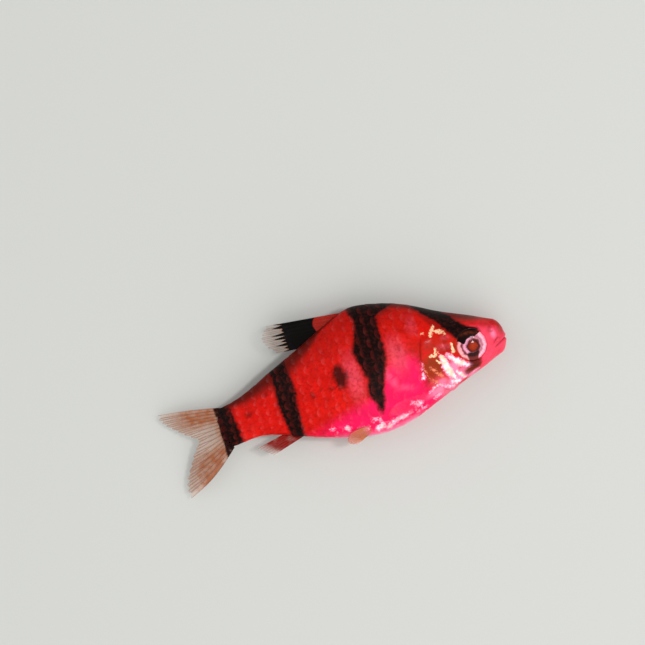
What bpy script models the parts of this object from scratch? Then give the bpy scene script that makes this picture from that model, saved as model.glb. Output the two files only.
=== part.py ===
"""Tiger barb of the red variety, life size, lying at rest on its left flank.

Lengths are in metres. The fish is laid out in shares of its standard length: u runs back from the
snout to the root of the tail fin, v runs up the flank towards the back, and a lateral distance in
metres runs towards the right side of the fish, which faces +Z. The head points to +X and the back
to +Y, and the floor is at Z = 0.
"""

import math

import bmesh
import bpy
from mathutils import Vector

# Driving dimensions
STANDARD_LENGTH = 0.040
BODY_HALF_WIDTH = 0.00384
FLANK_FLATTENED = 0.00022
TAIL_DROOP = 0.0030
GAP = 0.0003
FIN_RAY = 0.00078
FIN_MEMBRANE = 0.00050
FIN_TIP = 0.00032
EYE_RADIUS = 0.0021
EYE_DEPTH = 0.0013
GILL_COVER_LIFT = 0.00024
GILL_COVER_WALL = 0.0007
THROAT_HALF_WIDTH = 0.00083
LIP_RADIUS = 0.00027
LIP_SUNK = 0.00010
NOSTRIL_RADIUS = 0.00030
BARBEL_LENGTH = 0.00115
BARBEL_RADIUS = 0.00025
BARBEL_TIP_RADIUS = 0.00012

# Body section at each station: u, back v, belly v, half width as a share of the widest
BODY_STATIONS = (
    (0.00, 0.052, -0.022, 0.34),
    (0.05, 0.082, -0.047, 0.50),
    (0.10, 0.104, -0.070, 0.66),
    (0.20, 0.149, -0.106, 0.85),
    (0.30, 0.202, -0.145, 0.95),
    (0.38, 0.232, -0.173, 1.00),
    (0.48, 0.247, -0.187, 0.99),
    (0.58, 0.212, -0.172, 0.86),
    (0.70, 0.159, -0.136, 0.64),
    (0.80, 0.117, -0.098, 0.46),
    (0.88, 0.081, -0.077, 0.36),
    (0.95, 0.059, -0.081, 0.29),
    (1.04, 0.050, -0.091, 0.20),
)
SNOUT_ROUNDING = 0.044
TAIL_END_ROUNDING = 0.012
AXIS_RISE = 0.030
BACK_NARROWING = 1.22
BELLY_FULLNESS = 0.92
AROUND = 36
ALONG = 52

# Where the body is parted
NECK_U = 0.318
NECK_BEND = 1.85
NECK_LEVEL = -0.02
NECK_STEPS = 32
TAIL_STALK_U = 0.80
TAIL_ROOT_U = 1.00
MOUTH_CORNER = (0.052, -0.020)
MOUTH_FRONT_V = 0.006
JAW_HINGE = (0.090, -0.044)
THROAT = (0.106, -0.100)

# Parts of the head
EYE_CENTRE = (0.127, 0.009)
EYE_BULGE = 0.00050
NOSTRIL = (0.070, 0.044)
GILL_COVER_CENTRE = (0.250, -0.014)
GILL_COVER_SIZE = (0.048, 0.080)
BARBEL_ROOT = (0.034, 0.008)
MOUTH_HALF_WIDTH = 0.00128

# Fins: the rays that each one shows, and on the folded paired fins the root, the tip, and the
# width at the root and near the tip
DORSAL_RAYS = 10
ANAL_RAYS = 7
TAIL_LOBE_RAYS = 9
PECTORAL_RAYS = 8
PELVIC_RAYS = 7
PECTORAL_RIGHT = ((0.316, -0.110), (0.452, -0.128), 0.020, 0.042)
PECTORAL_LEFT = ((0.316, -0.124), (0.450, -0.168), 0.018, 0.030)
PELVIC = ((0.520, -0.160), (0.628, -0.152), 0.014, 0.034)
MARGIN_SCALLOP = 0.04
TAIL_MARGIN_BULGE = 0.012
TAIL_WAVE = 0.0004

RED = (0.62, 0.012, 0.012)
ROSE = (0.80, 0.03, 0.10)
BLACK = (0.012, 0.009, 0.010)
GOLD = (0.42, 0.22, 0.07)
CLEAR_RED = (0.50, 0.16, 0.10)


def clear_scene():
    """Empties the file, so that the fish is all it holds."""
    for obj in list(bpy.data.objects):
        bpy.data.objects.remove(obj)


def named_collection(name):
    """A new collection in the scene."""
    collection = bpy.data.collections.new(name)
    bpy.context.scene.collection.children.link(collection)
    return collection


def finish(name, colour, roughness, metallic=0.0):
    """A Principled material with its colour, roughness and metallic value."""
    material = bpy.data.materials.new(name)
    material.use_nodes = True
    shader = material.node_tree.nodes["Principled BSDF"]
    shader.inputs["Base Color"].default_value = (*colour, 1.0)
    shader.inputs["Roughness"].default_value = roughness
    shader.inputs["Metallic"].default_value = metallic
    return material


def mesh_object(name, shape, collection, material=None):
    """Turns a bmesh into an object with smooth shading and faces that point out."""
    bmesh.ops.recalc_face_normals(shape, faces=shape.faces)
    mesh = bpy.data.meshes.new(name)
    shape.to_mesh(mesh)
    shape.free()
    mesh.shade_smooth()
    obj = bpy.data.objects.new(name, mesh)
    collection.objects.link(obj)
    if material:
        mesh.materials.append(material)
    return obj


def helper(obj):
    """Marks an object as a cutter."""
    obj.hide_render = True
    obj.display_type = "WIRE"
    return obj


def mix(low, high, share):
    """The value that lies a share of the way from low to high."""
    return low + (high - low) * share


def smooth(share):
    """A share from 0 to 1 with level ends."""
    share = max(0.0, min(1.0, share))
    return share * share * (3 - 2 * share)


def station_value(u, column):
    """One column of the body stations at u, on a smooth curve through them."""
    last = len(BODY_STATIONS) - 1
    span = next((i for i in range(last) if u <= BODY_STATIONS[i + 1][0]), last - 1)
    knots = [BODY_STATIONS[max(0, min(last, span + k))] for k in (-1, 0, 1, 2)]
    before, start, end, after = knots
    width = end[0] - start[0]
    slope_in = (end[column] - before[column]) / (end[0] - before[0])
    slope_out = (after[column] - start[column]) / (after[0] - start[0])
    t = max(0.0, (u - start[0]) / width)
    return (
        (2 * t**3 - 3 * t**2 + 1) * start[column]
        + (t**3 - 2 * t**2 + t) * width * slope_in
        + (3 * t**2 - 2 * t**3) * end[column]
        + (t**3 - t**2) * width * slope_out
    )


def axis_level(u):
    """The v at which the body is widest."""
    middle = (station_value(u, 1) + station_value(u, 2)) / 2
    return middle + AXIS_RISE * smooth((0.75 - u) / 0.5) * smooth(u / 0.3)


def droop(u):
    """How far the middle plane sinks towards the floor at u."""
    return TAIL_DROOP * max(0.0, (u - 0.52) / 0.70) ** 2


def placed(u, v, lateral):
    """The point of the model at u and v, a lateral distance to the right of the middle plane."""
    height = BODY_HALF_WIDTH - FLANK_FLATTENED - droop(u)
    return Vector((-u * STANDARD_LENGTH, v * STANDARD_LENGTH, height + lateral))


def end_rounding(u):
    """The share of the full section that is left near the two ends of the body."""
    tail_end = BODY_STATIONS[-1][0]
    to_snout = min(1.0, max(0.0, u / SNOUT_ROUNDING))
    to_tail = min(1.0, max(0.0, (tail_end - u) / TAIL_END_ROUNDING))
    return math.sqrt(1 - (1 - to_snout) ** 2) * math.sqrt(1 - (1 - to_tail) ** 2)


def section_point(u, angle, lift=0.0):
    """A point of the skin at u, at an angle from the right side towards the back, lifted off it."""
    level = axis_level(u)
    edge = station_value(u, 1) if math.sin(angle) > 0 else station_value(u, 2)
    full = end_rounding(u)
    power = BACK_NARROWING if math.sin(angle) > 0 else BELLY_FULLNESS
    v = level + abs(edge - level) * full * math.sin(angle)
    width = BODY_HALF_WIDTH * station_value(u, 3) * full + lift
    lateral = math.copysign(abs(math.cos(angle)) ** power, math.cos(angle)) * width
    return placed(u, v + lift * math.sin(angle) / STANDARD_LENGTH, lateral)


def flank_width(u, v):
    """Half the body's width at u and v."""
    level = axis_level(u)
    edge = station_value(u, 1) if v > level else station_value(u, 2)
    rise = min(0.999, abs(v - level) / (abs(edge - level) * max(0.05, end_rounding(u))))
    power = BACK_NARROWING if v > level else BELLY_FULLNESS
    width = BODY_HALF_WIDTH * station_value(u, 3) * end_rounding(u)
    return width * math.sqrt(1 - rise * rise) ** power


def body_shape(lift=0.0):
    """The whole body as a closed surface: a sphere whose rings become the body's sections."""
    shape = bmesh.new()
    bmesh.ops.create_uvsphere(shape, u_segments=AROUND, v_segments=ALONG, radius=1.0)
    tail_end = BODY_STATIONS[-1][0]
    for vert in shape.verts:
        polar = math.acos(max(-1.0, min(1.0, vert.co.z))) / math.pi
        u = tail_end * (0.45 * polar + 0.55 * (1 - math.cos(math.pi * polar)) / 2)
        vert.co = section_point(u, math.atan2(vert.co.y, vert.co.x), lift)
    return shape


def prism(name, outline, collection, low=0.0, high=0.012):
    """A block that stands on an outline of u, v points, from one height to another."""
    curve = bpy.data.curves.new(name, "CURVE")
    curve.dimensions = "2D"
    curve.fill_mode = "BOTH"
    curve.extrude = (high - low) / 2
    spline = curve.splines.new("POLY")
    spline.points.add(len(outline) - 1)
    spline.use_cyclic_u = True
    for point, (u, v) in zip(spline.points, outline):
        point.co = (-u * STANDARD_LENGTH, v * STANDARD_LENGTH, 0.0, 1.0)
    guide = bpy.data.objects.new(name + "_outline", curve)
    guide.location.z = (high + low) / 2
    collection.objects.link(guide)
    bpy.context.view_layer.update()
    evaluated = guide.evaluated_get(bpy.context.evaluated_depsgraph_get())
    mesh = bpy.data.meshes.new_from_object(evaluated)
    block = bmesh.new()
    block.from_mesh(mesh)
    block.transform(guide.matrix_world)
    bmesh.ops.remove_doubles(block, verts=block.verts, dist=1e-6)
    bpy.data.objects.remove(guide)
    return helper(mesh_object(name, block, collection))


def ellipse(centre, size, grow=0.0, steps=40):
    """An outline of u, v points round an ellipse, grown by a distance in metres."""
    share = grow / STANDARD_LENGTH
    turns = [2 * math.pi * k / steps for k in range(steps)]
    return [
        (centre[0] + (size[0] + share) * math.cos(a), centre[1] + (size[1] + share) * math.sin(a))
        for a in turns
    ]


def boolean(obj, cutter, operation):
    """Adds a Boolean with another object to obj."""
    modifier = obj.modifiers.new(operation.lower() + "_" + cutter.name, "BOOLEAN")
    modifier.operation = operation
    modifier.solver = "EXACT"
    modifier.object = cutter
    return obj


def neck_line(grow):
    """The curved edge between head and trunk, from belly to back, moved back by a distance."""
    levels = [mix(-0.30, 0.40, k / NECK_STEPS) for k in range(NECK_STEPS + 1)]
    share = grow / STANDARD_LENGTH
    return [(NECK_U - NECK_BEND * (v - NECK_LEVEL) ** 2 + share, v) for v in levels]


def jaw_outline(grow):
    """The outline of the lower jaw in u and v, grown by a distance."""
    share = grow / STANDARD_LENGTH
    corner_u, corner_v = MOUTH_CORNER
    return [
        (-0.10, MOUTH_FRONT_V + 0.05 + share),
        (corner_u, corner_v + share),
        (JAW_HINGE[0] + share, JAW_HINGE[1] + share),
        (THROAT[0] + share, THROAT[1]),
        (THROAT[0] + share, -0.30),
        (-0.10, -0.30),
    ]


def body_parts(parts, cutters, skin, rose):
    """Head, lower jaw, trunk and tail stalk, parted from one body by thin cuts."""
    half_gap = GAP / 2
    head_outline = [(-0.2, -0.30), *neck_line(-half_gap), (-0.2, 0.40)]
    trunk_end = TAIL_STALK_U - half_gap / STANDARD_LENGTH
    trunk_outline = [*neck_line(half_gap), (trunk_end, 0.40), (trunk_end, -0.30)]
    stalk_start = TAIL_STALK_U + half_gap / STANDARD_LENGTH
    stalk_outline = [(stalk_start, -0.3), (stalk_start, 0.3), (TAIL_ROOT_U, 0.3), (TAIL_ROOT_U, -0.3)]
    head = mesh_object("head", body_shape(), parts, skin)
    boolean(head, prism("head_block", head_outline, cutters), "INTERSECT")
    boolean(head, prism("jaw_room", jaw_outline(half_gap), cutters, -0.001), "DIFFERENCE")
    jaw = mesh_object("lower_jaw", body_shape(), parts, rose)
    boolean(jaw, prism("jaw_block", jaw_outline(-half_gap), cutters), "INTERSECT")
    trunk = mesh_object("trunk", body_shape(), parts, skin)
    boolean(trunk, prism("trunk_block", trunk_outline, cutters), "INTERSECT")
    stalk = mesh_object("tail_stalk", body_shape(), parts, skin)
    boolean(stalk, prism("stalk_block", stalk_outline, cutters), "INTERSECT")
    return head, jaw


def gill_covers(head, parts, cutters, material):
    """A raised plate on each cheek, let into the head with a thin gap round it."""
    middle = BODY_HALF_WIDTH - FLANK_FLATTENED
    above, below = middle + THROAT_HALF_WIDTH, middle - THROAT_HALF_WIDTH
    inner = helper(mesh_object("cheek_core", body_shape(GILL_COVER_LIFT - GILL_COVER_WALL), cutters))
    floor_of_recess = body_shape(GILL_COVER_LIFT - GILL_COVER_WALL - GAP)
    deeper = helper(mesh_object("recess_core", floor_of_recess, cutters))
    for side, low, high in (("right", above, 0.012), ("left", 0.0, below)):
        plate = mesh_object("gill_cover_" + side, body_shape(GILL_COVER_LIFT), parts, material)
        outline = ellipse(GILL_COVER_CENTRE, GILL_COVER_SIZE)
        boolean(plate, prism("plate_block_" + side, outline, cutters, low, high), "INTERSECT")
        boolean(plate, inner, "DIFFERENCE")
        outline = ellipse(GILL_COVER_CENTRE, GILL_COVER_SIZE, GAP)
        room_low, room_high = (low - GAP, high) if side == "right" else (low - 0.001, high + GAP)
        room = prism("plate_room_" + side, outline, cutters, room_low, room_high)
        boolean(room, deeper, "DIFFERENCE")
        boolean(head, room, "DIFFERENCE")


def ball(name, centre, radii, collection, material=None, around=24):
    """An ellipsoid at a point, with a radius along each axis."""
    shape = bmesh.new()
    bmesh.ops.create_uvsphere(shape, u_segments=around, v_segments=around // 2 + 2, radius=1.0)
    bmesh.ops.scale(shape, vec=radii, verts=shape.verts)
    bmesh.ops.translate(shape, vec=centre, verts=shape.verts)
    return mesh_object(name, shape, collection, material)


def eyes(head, parts, cutters, material):
    """An eyeball in a socket on each side of the head."""
    surface = flank_width(*EYE_CENTRE)
    for side, sign in (("right", 1), ("left", -1)):
        centre = placed(*EYE_CENTRE, sign * (surface - EYE_DEPTH + EYE_BULGE))
        ball("eye_" + side, centre, (EYE_RADIUS, EYE_RADIUS, EYE_DEPTH), parts, material)
        room = [radius + GAP for radius in (EYE_RADIUS, EYE_RADIUS, EYE_DEPTH)]
        boolean(head, helper(ball("socket_" + side, centre, room, cutters)), "DIFFERENCE")


def mouth_level(u):
    """The level of the line of the mouth at u."""
    corner_u, corner_v = MOUTH_CORNER
    slope = (corner_v - MOUTH_FRONT_V - 0.05) / (corner_u + 0.10)
    return corner_v + slope * (u - corner_u)


def mouth_u(lateral, rise):
    """How far back the skin lies at a lateral distance, at a rise above the line of the mouth."""
    near, far = 0.0, 0.12
    for _ in range(30):
        middle = (near + far) / 2
        if flank_width(middle, mouth_level(middle) + rise) < lateral:
            near = middle
        else:
            far = middle
    return far


def tube(name, points, radii, collection, material):
    """A closed round tube through points, with a radius at each."""
    curve = bpy.data.curves.new(name, "CURVE")
    curve.dimensions = "3D"
    curve.bevel_depth = 1.0
    curve.bevel_resolution = 2
    curve.use_fill_caps = True
    spline = curve.splines.new("POLY")
    spline.points.add(len(points) - 1)
    for point, where, radius in zip(spline.points, points, radii):
        point.co = (*where, 1.0)
        point.radius = radius
    guide = bpy.data.objects.new(name + "_guide", curve)
    collection.objects.link(guide)
    bpy.context.view_layer.update()
    evaluated = guide.evaluated_get(bpy.context.evaluated_depsgraph_get())
    shape = bmesh.new()
    shape.from_mesh(bpy.data.meshes.new_from_object(evaluated))
    bmesh.ops.remove_doubles(shape, verts=shape.verts, dist=1e-6)
    bpy.data.objects.remove(guide)
    return mesh_object(name, shape, collection, material)


def lip(name, side_of_line, collection, material):
    """A lip that runs round the snout beside the line of the mouth, above it or below."""
    rise = side_of_line * (GAP / 2 + LIP_RADIUS) / STANDARD_LENGTH
    steps = 14
    points, radii = [], []
    for k in range(steps):
        swing = math.radians(mix(-82, 82, k / (steps - 1)))
        lateral = MOUTH_HALF_WIDTH * math.sin(swing)
        u = mouth_u(abs(lateral), rise)
        inwards = Vector((-LIP_SUNK * math.cos(swing), 0.0, -LIP_SUNK * math.sin(swing)))
        points.append(placed(u, mouth_level(u) + rise, lateral) + inwards)
        radii.append(LIP_RADIUS * mix(0.55, 1.0, math.cos(swing)))
    return tube(name, points, radii, collection, material)


def barbel(name, sign, collection, material):
    """The short feeler beside the mouth."""
    start = placed(*BARBEL_ROOT, sign * (flank_width(*BARBEL_ROOT) - BARBEL_RADIUS))
    way = Vector((-0.62, -0.42, sign * 0.66))
    sag = Vector((-0.3, -0.5, 0.0))
    steps = 5
    points = [
        start + way * BARBEL_LENGTH * (k / steps) + sag * BARBEL_LENGTH * 0.5 * (k / steps) ** 2
        for k in range(steps + 1)
    ]
    radii = [mix(BARBEL_RADIUS, BARBEL_TIP_RADIUS, k / steps) for k in range(steps + 1)]
    return tube(name, points, radii, collection, material)


def largest_surface(mesh):
    """Keeps only the largest closed surface of a mesh."""
    shape = bmesh.new()
    shape.from_mesh(mesh)
    left = set(shape.verts)
    pieces = []
    while left:
        piece, front = set(), [left.pop()]
        while front:
            vert = front.pop()
            piece.add(vert)
            near = {edge.other_vert(vert) for edge in vert.link_edges} & left
            left -= near
            front.extend(near)
        pieces.append(piece)
    keep = max(pieces, key=len)
    loose = [vert for vert in shape.verts if vert not in keep]
    bmesh.ops.delete(shape, geom=loose, context="VERTS")
    shape.to_mesh(mesh)
    shape.free()


def joined(obj, pieces):
    """Joins closed pieces to obj with one union, applies it and removes the pieces."""
    group = bpy.data.collections.new(obj.name + "_pieces")
    bpy.context.scene.collection.children.link(group)
    for piece in pieces:
        group.objects.link(piece)
    union = obj.modifiers.new("join", "BOOLEAN")
    union.operation = "UNION"
    union.operand_type = "COLLECTION"
    union.collection = group
    union.solver = "EXACT"
    bpy.context.view_layer.update()
    evaluated = obj.evaluated_get(bpy.context.evaluated_depsgraph_get())
    mesh = bpy.data.meshes.new_from_object(evaluated)
    mesh.name = obj.name
    obj.modifiers.clear()
    obj.data = mesh
    largest_surface(mesh)
    for piece in pieces:
        bpy.data.objects.remove(piece)
    bpy.data.collections.remove(group)


def mouth(head, jaw, cutters, rose):
    """The lips and the two feelers, joined to the head and the lower jaw."""
    details = [lip("upper_lip", 1, cutters, rose)]
    details += [barbel("barbel_right", 1, cutters, rose), barbel("barbel_left", -1, cutters, rose)]
    joined(head, details)
    joined(jaw, [lip("lower_lip", -1, cutters, rose)])


def nostrils(head, cutters):
    """A shallow pit ahead of each eye."""
    for side, sign in (("right", 1), ("left", -1)):
        centre = placed(*NOSTRIL, sign * flank_width(*NOSTRIL))
        pit = ball("nostril_" + side, centre, [NOSTRIL_RADIUS] * 3, cutters, around=10)
        boolean(head, helper(pit), "DIFFERENCE")


def fin_sheet(name, spot, rays, rows, collection, material):
    """A fin: a sheet whose points come from spot(across, along), thickened with a ridge on each ray."""
    thickness = rayed_thickness(rays)
    shape = bmesh.new()
    bmesh.ops.create_grid(shape, x_segments=2 * (rays - 1), y_segments=rows, size=1.0)
    shares = [((v.co.x + 1) / 2, (v.co.y + 1) / 2) for v in shape.verts]
    for vert, (across, along) in zip(shape.verts, shares):
        vert.co = spot(across, scalloped(across, along, rays))
    bmesh.ops.triangulate(shape, faces=shape.faces)
    fin = mesh_object(name, shape, collection, material)
    thickest = max(thickness(*share) for share in shares)
    group = fin.vertex_groups.new(name="thickness")
    for index, share in enumerate(shares):
        group.add([index], thickness(*share) / thickest, "REPLACE")
    wall = fin.modifiers.new("wall", "SOLIDIFY")
    wall.thickness = thickest
    wall.offset = 0.0
    wall.vertex_group = group.name
    return fin


def between(start, end, share):
    """The u, v pair a share of the way from start to end."""
    return tuple(mix(a, b, share) for a, b in zip(start, end))


def on_ray(across, rays):
    """1 on a fin ray and 0 midway between two of them."""
    return math.cos(math.pi * across * (rays - 1)) ** 2


def rayed_thickness(rays):
    """The thickness function of a fin whose rays stand out of its membrane as ridges."""

    def thickness(across, along):
        root = mix(FIN_MEMBRANE, FIN_RAY, on_ray(across, rays))
        return mix(root, FIN_TIP, smooth((along - 0.25) / 0.75))

    return thickness


def scalloped(across, along, rays):
    """The share along a fin, drawn in between the rays so that the margin is scalloped."""
    return along * (1 - MARGIN_SCALLOP * (1 - on_ray(across, rays)))


def back_edge(u):
    """The level of the back's ridge, a gap above the skin."""
    return station_value(u, 1) + GAP / STANDARD_LENGTH


def belly_edge(u):
    """The level of the belly's keel, a gap below the skin."""
    return station_value(u, 2) - GAP / STANDARD_LENGTH


def dorsal_spot(across, along):
    """A point of the dorsal fin, which is laid back along the back."""
    root_u = mix(0.495, 0.665, across)
    root = (root_u, back_edge(root_u))
    tip_u = 0.755 + 0.030 * math.sin(math.pi * min(1.0, across * 1.1)) - 0.005 * across
    tip = (tip_u, mix(0.270, 0.172, across))
    u, v = between(root, tip, along)
    return placed(u, v, 0.0)


def anal_spot(across, along):
    """A point of the anal fin, which is laid back along the tail stalk."""
    root_u = mix(0.735, 0.792, across)
    root = (root_u, belly_edge(root_u))
    tip = (mix(0.862, 0.905, across), mix(-0.150, -0.112, across))
    u, v = between(root, tip, along)
    return placed(u, v, 0.0)


def tail_lobe_spot(outer_root, outer_tip, fork_root, fork_tip, bow):
    """The point function of one lobe of the tail fin, from its outer edge in to the fork."""

    def spot(across, along):
        root = between(outer_root, fork_root, across)
        tip_u, tip_v = between(outer_tip, fork_tip, across)
        tip = (tip_u + TAIL_MARGIN_BULGE * math.sin(math.pi * across**0.8), tip_v)
        u, v = between(root, tip, along)
        wave = TAIL_WAVE * along * math.sin(math.pi * along) * (1 - across)
        return placed(u, v + bow * math.sin(math.pi * along) * (1 - across), wave)

    return spot


def flank_fin_spot(side, root, tip, root_width, tip_width):
    """The point function of a paired fin that lies folded on the flank, on planes tangent to it."""
    run = Vector((tip[0] - root[0], tip[1] - root[1]))
    across_way = Vector((-run.y, run.x)).normalized()
    lift = GAP + FIN_RAY / 2
    step = 0.004

    def spot(across, along):
        width = mix(root_width, tip_width, math.sin(0.5 * math.pi * min(1.0, along * 1.25)))
        reach = along * (1 - 0.22 * (2 * across - 1) ** 2)
        middle = Vector(root) + run * reach
        u, v = middle + across_way * width * (across - 0.5)
        above = flank_width(middle.x, middle.y + step)
        below = flank_width(middle.x, middle.y - step)
        slope = (above - below) / (2 * step)
        steepness = math.hypot(1.0, slope / STANDARD_LENGTH)
        tangent = (above + below) / 2 + slope * (v - middle.y)
        hugging = flank_width(u, v) if v > middle.y else tangent
        return placed(u, v, side * (min(tangent, hugging) + lift * steepness))

    return spot


def fins(parts, material):
    """Every fin, each in its own node."""
    fin_sheet("dorsal_fin", dorsal_spot, DORSAL_RAYS, 8, parts, material)
    fin_sheet("anal_fin", anal_spot, ANAL_RAYS, 6, parts, material)
    root_u = TAIL_ROOT_U + GAP / STANDARD_LENGTH
    split = 0.5 * GAP / STANDARD_LENGTH
    upper = tail_lobe_spot(
        (root_u, 0.050), (1.205, 0.088), (root_u, -0.018 + split), (1.085, -0.030 + split), 0.004
    )
    lower = tail_lobe_spot(
        (root_u, -0.086), (1.170, -0.205), (root_u, -0.018 - split), (1.085, -0.030 - split), -0.004
    )
    fin_sheet("tail_fin_upper", upper, TAIL_LOBE_RAYS, 9, parts, material)
    fin_sheet("tail_fin_lower", lower, TAIL_LOBE_RAYS, 9, parts, material)
    for side, sign, folded in (("right", 1, PECTORAL_RIGHT), ("left", -1, PECTORAL_LEFT)):
        pectoral = flank_fin_spot(sign, *folded)
        pelvic = flank_fin_spot(sign, *PELVIC)
        fin_sheet("pectoral_fin_" + side, pectoral, PECTORAL_RAYS, 7, parts, material)
        fin_sheet("pelvic_fin_" + side, pelvic, PELVIC_RAYS, 6, parts, material)


def set_over_origin(objects):
    """Moves everything, so that the middle of the fish's box stands over the origin."""
    bpy.context.view_layer.update()
    graph = bpy.context.evaluated_depsgraph_get()
    corners = []
    for obj in objects:
        seen = obj.evaluated_get(graph)
        corners += [seen.matrix_world @ vert.co for vert in seen.data.vertices]
    anchor = bpy.data.objects.new("anchor", None)
    bpy.context.scene.collection.objects.link(anchor)
    for obj in [o for o in bpy.data.objects if o.type == "MESH"]:
        obj.parent = anchor
    low_x, high_x = min(c.x for c in corners), max(c.x for c in corners)
    low_y, high_y = min(c.y for c in corners), max(c.y for c in corners)
    anchor.location = (-(low_x + high_x) / 2, -(low_y + high_y) / 2, 0.0)


def tiger_barb():
    """Builds the fish and sets the middle of its footprint over the origin."""
    clear_scene()
    parts = named_collection("tiger_barb")
    cutters = named_collection("cutters")
    skin = finish("red skin", RED, 0.30)
    rose = finish("rose skin", ROSE, 0.30)
    gold = finish("gill cover", GOLD, 0.25)
    iris = finish("eye", BLACK, 0.12)
    clear = finish("fin membrane", CLEAR_RED, 0.35)
    head, jaw = body_parts(parts, cutters, skin, rose)
    mouth(head, jaw, cutters, rose)
    gill_covers(head, parts, cutters, gold)
    eyes(head, parts, cutters, iris)
    nostrils(head, cutters)
    fins(parts, clear)
    set_over_origin(parts.objects)


tiger_barb()
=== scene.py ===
"""Tiger barb of the red variety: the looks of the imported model.

Lengths are in metres. As in the solids, the fish is laid out in shares of its standard length: u runs
back from the snout, v runs up the flank towards the back, and a lateral distance runs towards the
right side, which faces the camera. Everything is placed from the frame, in the frame's own axes.
"""

import logging
import math
from dataclasses import dataclass
from enum import Enum
from typing import Callable, Sequence
from functools import partial
from typing import Callable, Sequence

import bpy
import numpy as np
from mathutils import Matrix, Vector


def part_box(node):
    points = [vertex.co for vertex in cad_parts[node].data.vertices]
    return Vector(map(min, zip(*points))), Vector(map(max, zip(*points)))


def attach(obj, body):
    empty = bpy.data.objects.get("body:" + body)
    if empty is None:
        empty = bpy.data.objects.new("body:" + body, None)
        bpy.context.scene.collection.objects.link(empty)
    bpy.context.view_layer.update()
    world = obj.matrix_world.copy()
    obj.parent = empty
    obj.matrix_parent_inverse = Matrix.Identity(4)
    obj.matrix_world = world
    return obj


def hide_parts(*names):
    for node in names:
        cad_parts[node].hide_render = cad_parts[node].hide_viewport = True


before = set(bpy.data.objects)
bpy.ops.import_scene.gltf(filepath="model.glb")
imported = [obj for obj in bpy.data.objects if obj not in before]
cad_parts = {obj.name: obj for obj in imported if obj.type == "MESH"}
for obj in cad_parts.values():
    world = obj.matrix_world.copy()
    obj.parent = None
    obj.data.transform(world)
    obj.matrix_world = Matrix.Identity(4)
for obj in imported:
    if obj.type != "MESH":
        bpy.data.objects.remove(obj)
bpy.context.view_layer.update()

BODY = "root"
MM = 0.001
MILLE = 1000
SKIN_IOR = 1.38
WATER_IOR = 1.33
FLOOR_GAP = 0.01 * MM
LOG = logging.getLogger("tiger_barb")

Array = np.ndarray
Pair = tuple[float, float]
Rows = tuple[tuple, ...]
Spot = Callable[[Array, Array], Array]
Node = Callable[..., bpy.types.NodeSocket]

TIMES, MINUS, MOST, TIMES_PLUS = (
    {"operation": name} for name in ("MULTIPLY", "SUBTRACT", "MAXIMUM", "MULTIPLY_ADD")
)
OVER = {"data_type": "RGBA", "clamp_factor": True}

# A Mix node takes its factor at 0 and its two colours at 6 and 7, and gives their mix at output 2.
# A MapRange node takes a value, the range that it comes from and the range that it goes to.


class Side(Enum):
    """The two flanks, with the sign of their lateral distances."""

    RIGHT = 1
    LEFT = -1


def smooth(share: Array | float) -> Array:
    """A share from 0 to 1 with level ends."""
    share = np.clip(share, 0.0, 1.0)
    return share * share * (3 - 2 * share)


def ramp(value: Array | float, start: float, end: float) -> Array:
    """0 where the value is at start and 1 where it is at end, with level ends."""
    return smooth((value - start) / (end - start))


def bump(distance: Array, width: float) -> Array:
    """A bell of height 1 over a distance, with a given half width."""
    return np.exp(-((distance / width) ** 2))


def ridges(distance: Array, rows: Rows) -> Array:
    """The sum of ridges and grooves: a row holds a height, the distance it lies at and a half width."""
    return sum(height * bump(distance - at, width) for height, at, width in rows)


def mix(low: Array | float, high: Array | float, share: Array | float) -> Array | float:
    """The value that lies a share of the way from low to high."""
    return low + (high - low) * share


def linear(hex_colour: str) -> tuple[float, float, float, float]:
    """Turns an sRGB hex colour into linear values.

    Args:
        hex_colour: Six hex digits.

    Returns:
        Linear red, green and blue, and an alpha of 1.
    """
    parts = [int(hex_colour[k : k + 2], 16) / 255 for k in (0, 2, 4)]
    turned = [p / 12.92 if p <= 0.04045 else ((p + 0.055) / 1.055) ** 2.4 for p in parts]
    return (*turned, 1.0)


def fill(node: bpy.types.Node, inputs: dict | tuple) -> None:
    """Gives a node's inputs their values.

    Args:
        node: The node.
        inputs: Values, hex colours or output sockets, in order or by the input's name or number.
    """
    for key, value in inputs.items() if isinstance(inputs, dict) else enumerate(inputs):
        if isinstance(value, bpy.types.NodeSocket):
            node.id_data.links.new(value, node.inputs[key])
        else:
            node.inputs[key].default_value = linear(value) if isinstance(value, str) else value


def add_node(tree: bpy.types.NodeTree, kind: str, inputs: dict | tuple = (), settings: dict | None = None,
             output: int | str = 0) -> bpy.types.NodeSocket:
    """Adds a node with its settings and inputs.

    Args:
        tree: The material's node tree.
        kind: The node's type name, without its common prefix.
        inputs: What fill() gives its inputs.
        settings: The node's own properties.
        output: The output that is wanted, by name or number.

    Returns:
        That output socket of the new node.
    """
    made = tree.nodes.new("ShaderNode" + kind)
    for name, value in (settings or {}).items():
        setattr(made, name, value)
    fill(made, inputs)
    return made.outputs[output]


def new_finish(name: str) -> tuple[bpy.types.Material, Node]:
    """A new material, and add_node for its tree."""
    made = bpy.data.materials.new(name)
    made.use_nodes = True
    return made, partial(add_node, made.node_tree)


def finished(made: bpy.types.Material, inputs: dict) -> bpy.types.Material:
    """The material with its shader's inputs filled."""
    fill(made.node_tree.nodes["Principled BSDF"], inputs)
    return made


def modelled(add: Callable, **settings: float | str) -> bpy.types.Object:
    """The object that a modelling operator adds."""
    bpy.ops.object.select_all(action="DESELECT")
    add(**settings)
    return bpy.context.object


def edit(change: Callable, **settings: float | bool) -> None:
    """Runs an edit operator on the whole mesh of the active object."""
    bpy.ops.object.mode_set(mode="EDIT")
    bpy.ops.mesh.select_all(action="SELECT")
    change(**settings)
    bpy.ops.object.mode_set(mode="OBJECT")


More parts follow.
